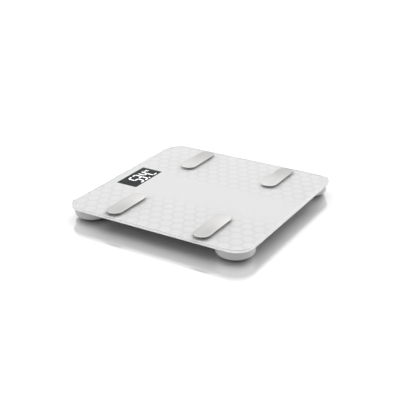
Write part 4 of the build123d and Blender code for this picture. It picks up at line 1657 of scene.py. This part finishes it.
@dataclass
class Housing:
    """White housing under the glass with its cover, door, screws and button.

    Attributes:
        rounding: rounding of its moulded edges.
        button_rounding: rounding of the button's edges.
        rib_offset: from the middle of the battery cells to the middle of the ribs, along Y.
        rib_pitch: distance between the door's grip ribs.
        rib_count: number of ribs.
        rib_length: length of a rib.
        rib_radius: radius of a rib.
        head: radius of a screw's head.
        head_height: height of the head.
        shank: radius of a screw's shank.
        shank_length: its length.
        recess: width of the cross recess.
        middle_row: from the inner row of screws to the next, along Y.
    """

    rounding: float = 0.3 * MM
    button_rounding: float = 0.2 * MM
    rib_offset: float = 7.9 * MM
    rib_pitch: float = 2.4 * MM
    rib_count: int = 4
    rib_length: float = 15.0 * MM
    rib_radius: float = 0.42 * MM
    head: float = 2.5 * MM
    head_height: float = 0.75 * MM
    shank: float = 1.2 * MM
    shank_length: float = 7.5 * MM
    recess: float = 0.7 * MM
    middle_row: float = 17.5 * MM

    def build(self, palette: Palette, screws: Repeater, ribs: Repeater) -> None:
        """Make the housing.

        Args:
            palette: the finishes.
            screws: repeater for the cover screws.
            ribs: repeater for the door's grip ribs.
        """
        shells = (
            ("electronics_frame", "housing_frame", PLATFORM, "housing_abs", self.rounding),
            ("bottom_cover", "housing_cover", PLATFORM, "housing_abs", self.rounding),
            ("battery_door", "door_panel", "battery_door", "housing_abs", self.rounding),
            ("unit_button", "unit_button_cap", "unit_button", "button_abs", self.button_rounding),
        )
        for node, piece, body, finish, rounding in shells:
            dress(refined_copy(node, rounding, piece), body, finish, palette, [node])
        self._ribs(palette, ribs)
        self._screws(palette, screws)

    def _ribs(self, palette: Palette, ribs: Repeater) -> None:
        """Grip ribs in the door's grooves.

        Args:
            palette: the finishes.
            ribs: the rib repeater.
        """
        x, z = box_centre("battery_door").x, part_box("battery_door")[0].z + self.rib_radius
        middle = box_centre("battery_cells").y + self.rib_offset
        steps = [i - (self.rib_count - 1) / 2 for i in range(self.rib_count)]
        points = [(x, middle + step * self.rib_pitch, z) for step in steps]
        sizes = {"Length": self.rib_length, "Radius": self.rib_radius, "Finish": palette["housing_abs"]}
        dress(ribs.build("door_grip_ribs", points, sizes), "battery_door", "housing_abs", palette)

    def _screws(self, palette: Palette, screws: Repeater) -> None:
        """Cover screws with cross recesses.

        Args:
            palette: the finishes.
            screws: the screw repeater.
        """
        low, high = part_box("cover_screws")
        xs = (low.x + self.head, high.x - self.head)
        ys = (low.y + self.head, low.y + self.head + self.middle_row, high.y - self.head)
        sizes = {
            "Head Radius": self.head,
            "Head Height": self.head_height,
            "Shank Radius": self.shank,
            "Shank Length": self.shank_length,
            "Recess Width": self.recess,
            "Finish": palette["zinc_steel"],
        }
        group = screws.build("cover_cross_screws", [(x, y, low.z) for x in xs for y in ys], sizes)
        dress(group, PLATFORM, "zinc_steel", palette, ["cover_screws"])


@dataclass
class Inside:
    """CAD nodes that keep their shape: fixings, wiring, board and display parts.

    Attributes:
        finishes: node names to finish names.
    """

    finishes: dict[str, str]

    def build(self, palette: Palette) -> None:
        """Give each node its material.

        Args:
            palette: the finishes.
        """
        for node, finish in self.finishes.items():
            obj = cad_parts[node]
            obj.data.materials.clear()
            obj.data.materials.append(palette[finish])
            log.info("%s: %s", node, finish)


def inside_finishes() -> dict[str, str]:
    """Finish of every CAD node that keeps its shape.

    Returns:
        Node names to finish names.
    """
    finishes = {
        "electrode_gaskets": "foam_tape",
        "electrode_washers": "zinc_steel",
        "ring_terminals": "nickel_plate",
        "electrode_nuts": "zinc_steel",
        "electrode_leads": "electrode_lead_pvc",
        "load_cell_leads": "load_lead_pvc",
        "lead_clips": "clip_nylon",
        "foot_adhesive": "foam_tape",
        "strain_gauges": "gauge_silicone",
        "load_cell_screws": "zinc_steel",
        "frame_adhesive": "foam_tape",
        "battery_cells": "cell_jacket",
        "battery_contacts": "nickel_plate",
        "battery_springs": "nickel_plate",
        "lcd_backlight": "light_guide",
        "lcd_frame": "lcd_frame_abs",
        "zebra_strip": "zebra_rubber",
        "circuit_board": "board_laminate",
        "board_screws": "zinc_steel",
        "controller_chip": "chip_epoxy",
        "converter_chip": "chip_epoxy",
        "crystal_can": "crystal_steel",
        "capacitors": "capacitor_sleeve",
        "lead_connectors": "connector_nylon",
        "unit_switch": "switch_body",
        "switch_plunger": "switch_body",
    }
    finishes.update({f"load_cell_{corner}": "load_cell_steel" for corner in CORNERS})
    return finishes


def main() -> None:
    """Build the stage, then each sub-assembly of the scale."""
    logging.basicConfig(level=logging.INFO, format="%(name)s: %(message)s")
    Stage().build()
    palette = Palette()
    screws, ribs, cleats = screw_repeater(), rib_repeater(), cleat_repeater()
    Platform().build(palette)
    for corner in CORNERS:
        Electrode(corner).build(palette)
        Foot(corner).build(palette, cleats)
    Display().build(palette)
    Housing().build(palette, screws, ribs)
    Inside(inside_finishes()).build(palette)


if __name__ == "__main__":
    main()
